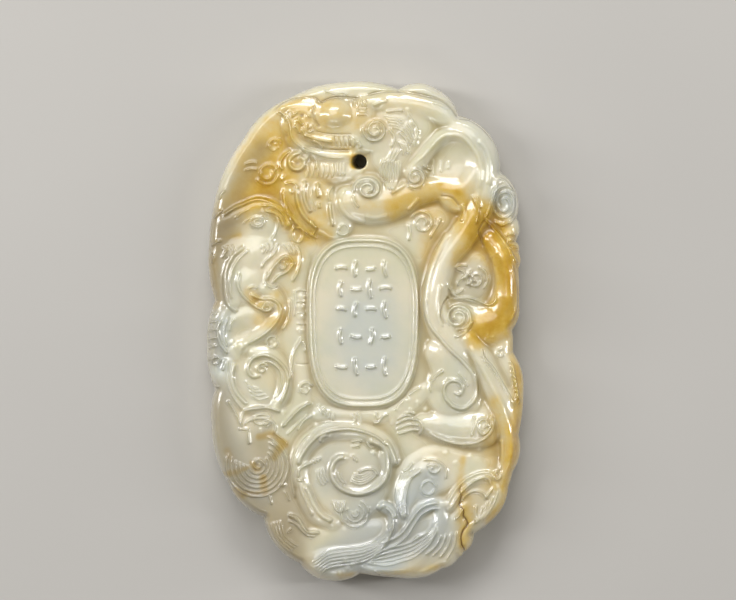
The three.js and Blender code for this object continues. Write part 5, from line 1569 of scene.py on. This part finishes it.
for channel in range(CHANNELS):
    side = add("Attribute", {}, "Fac", attribute_name=f"line side {channel}")
    rise = add("Attribute", {}, "Fac", attribute_name=f"line rise {channel}")
    square = add("Math", {0: side, 1: side}, operation="MULTIPLY")
    section = add("Math", {0: 1.0, 1: square}, operation="SUBTRACT", use_clamp=True)
    section = add("Math", {0: section, 1: 1.5}, operation="POWER")
    cuts = add("Math", {0: section, 1: rise, 2: cuts}, operation="MULTIPLY_ADD")
relief = add("Math", {0: relief, 1: cuts}, operation="ADD")
bump = add("Bump", {"Height": relief, "Distance": MM})
# Painted shade and dirt: the grooves of the fine lines are tinted deeper
groove_shade_and_dirt = add("MapRange", {"Value": cuts, "From Min": -0.02, "From Max": -0.2, "To Max": 0.35})
colour = add("Mix", {"Factor": groove_shade_and_dirt, 6: colour, 7: SHADE_AND_DIRT_TINT}, 2, blend_type="MULTIPLY", **COLOUR)
dull = add("MapRange", {"Value": hollow_shade_and_dirt, "To Min": 0.2, "To Max": 0.4})
print("sharp lines are drawn from", CHANNELS, "channels")

# %% Nephrite: light on it and in it
gloss = add("BsdfPrincipled", {
    "Base Color": colour, "Roughness": dull, "Normal": bump, "IOR": 1.61, "Specular IOR Level": 0.6,
    "Subsurface Weight": 0.85, "Subsurface Radius": (1.0, 0.98, 0.75), "Subsurface Scale": 1.1 * MM,
    "Coat Weight": 0.7, "Coat IOR": 1.55, "Coat Roughness": 0.08,
})
add("OutputMaterial", {"Surface": gloss})
mesh.materials.append(jade)
print("nephrite has", len(tree.nodes), "nodes")

# %% [markdown]
# **The table.** The pendant lies on a pale plaster top. Plaster that was smoothed and
# left matt gives the eye no highlight and a soft shadow, so nothing competes with the
# stone. Its tone drifts slightly over a hand's breadth, as a cast surface does.

# %% Table
TABLE_HALF = 0.6
TABLE_DROP = 0.02
TONE_SIZE = 60
corner_x, corner_y = np.meshgrid([-TABLE_HALF, TABLE_HALF], [-TABLE_HALF, TABLE_HALF])
corners = np.column_stack([corner_x.ravel(), corner_y.ravel(), np.full(4, -TABLE_DROP * MM)])
table_mesh = bpy.data.meshes.new("table")
table_mesh.from_pydata(corners.tolist(), [], [(0, 1, 3, 2)])
table = bpy.data.objects.new("table", table_mesh)
bpy.context.scene.collection.objects.link(table)

matt, tree = start_material("plaster, smoothed and matt")
where = add("TexCoord", {}, "Object")
share = add("TexNoise", {"Vector": where, "Scale": per_mm(TONE_SIZE)})
tone = add("Mix", {"Factor": share, 6: linear("#B9B6B1"), 7: linear("#C1BEB9")}, 2, **COLOUR)
plaster = add("BsdfPrincipled", {"Base Color": tone, "Roughness": 0.75})
add("OutputMaterial", {"Surface": plaster})
table.data.materials.append(matt)
print("table:", 2 * TABLE_HALF, "m square")

# %% [markdown]
# **The light.** Jade shows its carving only by its highlights. One small lamp would
# give hard sparks, so the lamps are large soft panels that stand low round the
# pendant: one on the left, one beyond the top, a narrow one on the right and a weak
# one before the foot. Each rounded limb mirrors them as clean bright lines. A broad
# panel above fills the shadows.

# %% Light
def panel(name, place, across, along, watts):
    """A soft rectangular lamp that looks at the middle of the pendant. Sizes are in metres."""
    lamp = bpy.data.lights.new(name, "AREA")
    lamp.shape = "RECTANGLE"
    lamp.size, lamp.size_y = across, along
    lamp.energy = watts
    made = bpy.data.objects.new(name, lamp)
    made.location = place
    toward = -made.location.normalized()
    made.rotation_euler = toward.to_track_quat("-Z", "Y").to_euler()
    bpy.context.scene.collection.objects.link(made)


ROOM_LIGHT = 0.14
panel("left strip", (-0.40, 0.10, 0.34), 0.10, 0.40, 1.3)
panel("top strip", (-0.04, 0.44, 0.36), 0.34, 0.12, 1.4)
panel("right strip", (0.42, 0.02, 0.26), 0.05, 0.36, 0.8)
panel("foot strip", (-0.04, -0.36, 0.40), 0.30, 0.05, 0.2)
panel("broad panel", (-0.08, 0.22, 0.46), 0.30, 0.30, 0.6)

world = bpy.data.worlds.new("pale room")
world.use_nodes = True
world.node_tree.nodes["Background"].inputs["Color"].default_value = linear("#F0ECE4")
world.node_tree.nodes["Background"].inputs["Strength"].default_value = ROOM_LIGHT
bpy.context.scene.world = world

# %% [markdown]
# **The camera.** It hangs half a metre above and looks straight down. From so far the
# view is nearly flat, so the outline keeps its true shape. The lens is worked out from
# the width that the picture shows at the belly of the pendant, by similar triangles.

# %% Camera
VIEW_WIDTH = 103.04 * MM
VIEW_CENTRE = (0.31 * MM, 4.37 * MM)
CAMERA_HEIGHT = 0.5
SENSOR_WIDTH = 36
camera_data = bpy.data.cameras.new("camera")
camera_data.sensor_width = SENSOR_WIDTH
camera_data.lens = SENSOR_WIDTH * (CAMERA_HEIGHT - BELLY * MM) / VIEW_WIDTH
camera_data.clip_start = 0.01
camera = bpy.data.objects.new("camera", camera_data)
camera.location = (*VIEW_CENTRE, CAMERA_HEIGHT)
bpy.context.scene.collection.objects.link(camera)
bpy.context.scene.camera = camera
print("lens, mm:", round(camera_data.lens, 1))

# %% [markdown]
# ** Tone.** The plain display curve keeps the amber as warm as it is in
# the stone, where a film-like curve would grey it.

# %% Tone and the end
bpy.context.scene.view_settings.view_transform = "Standard"
print("view:", bpy.context.scene.view_settings.view_transform)
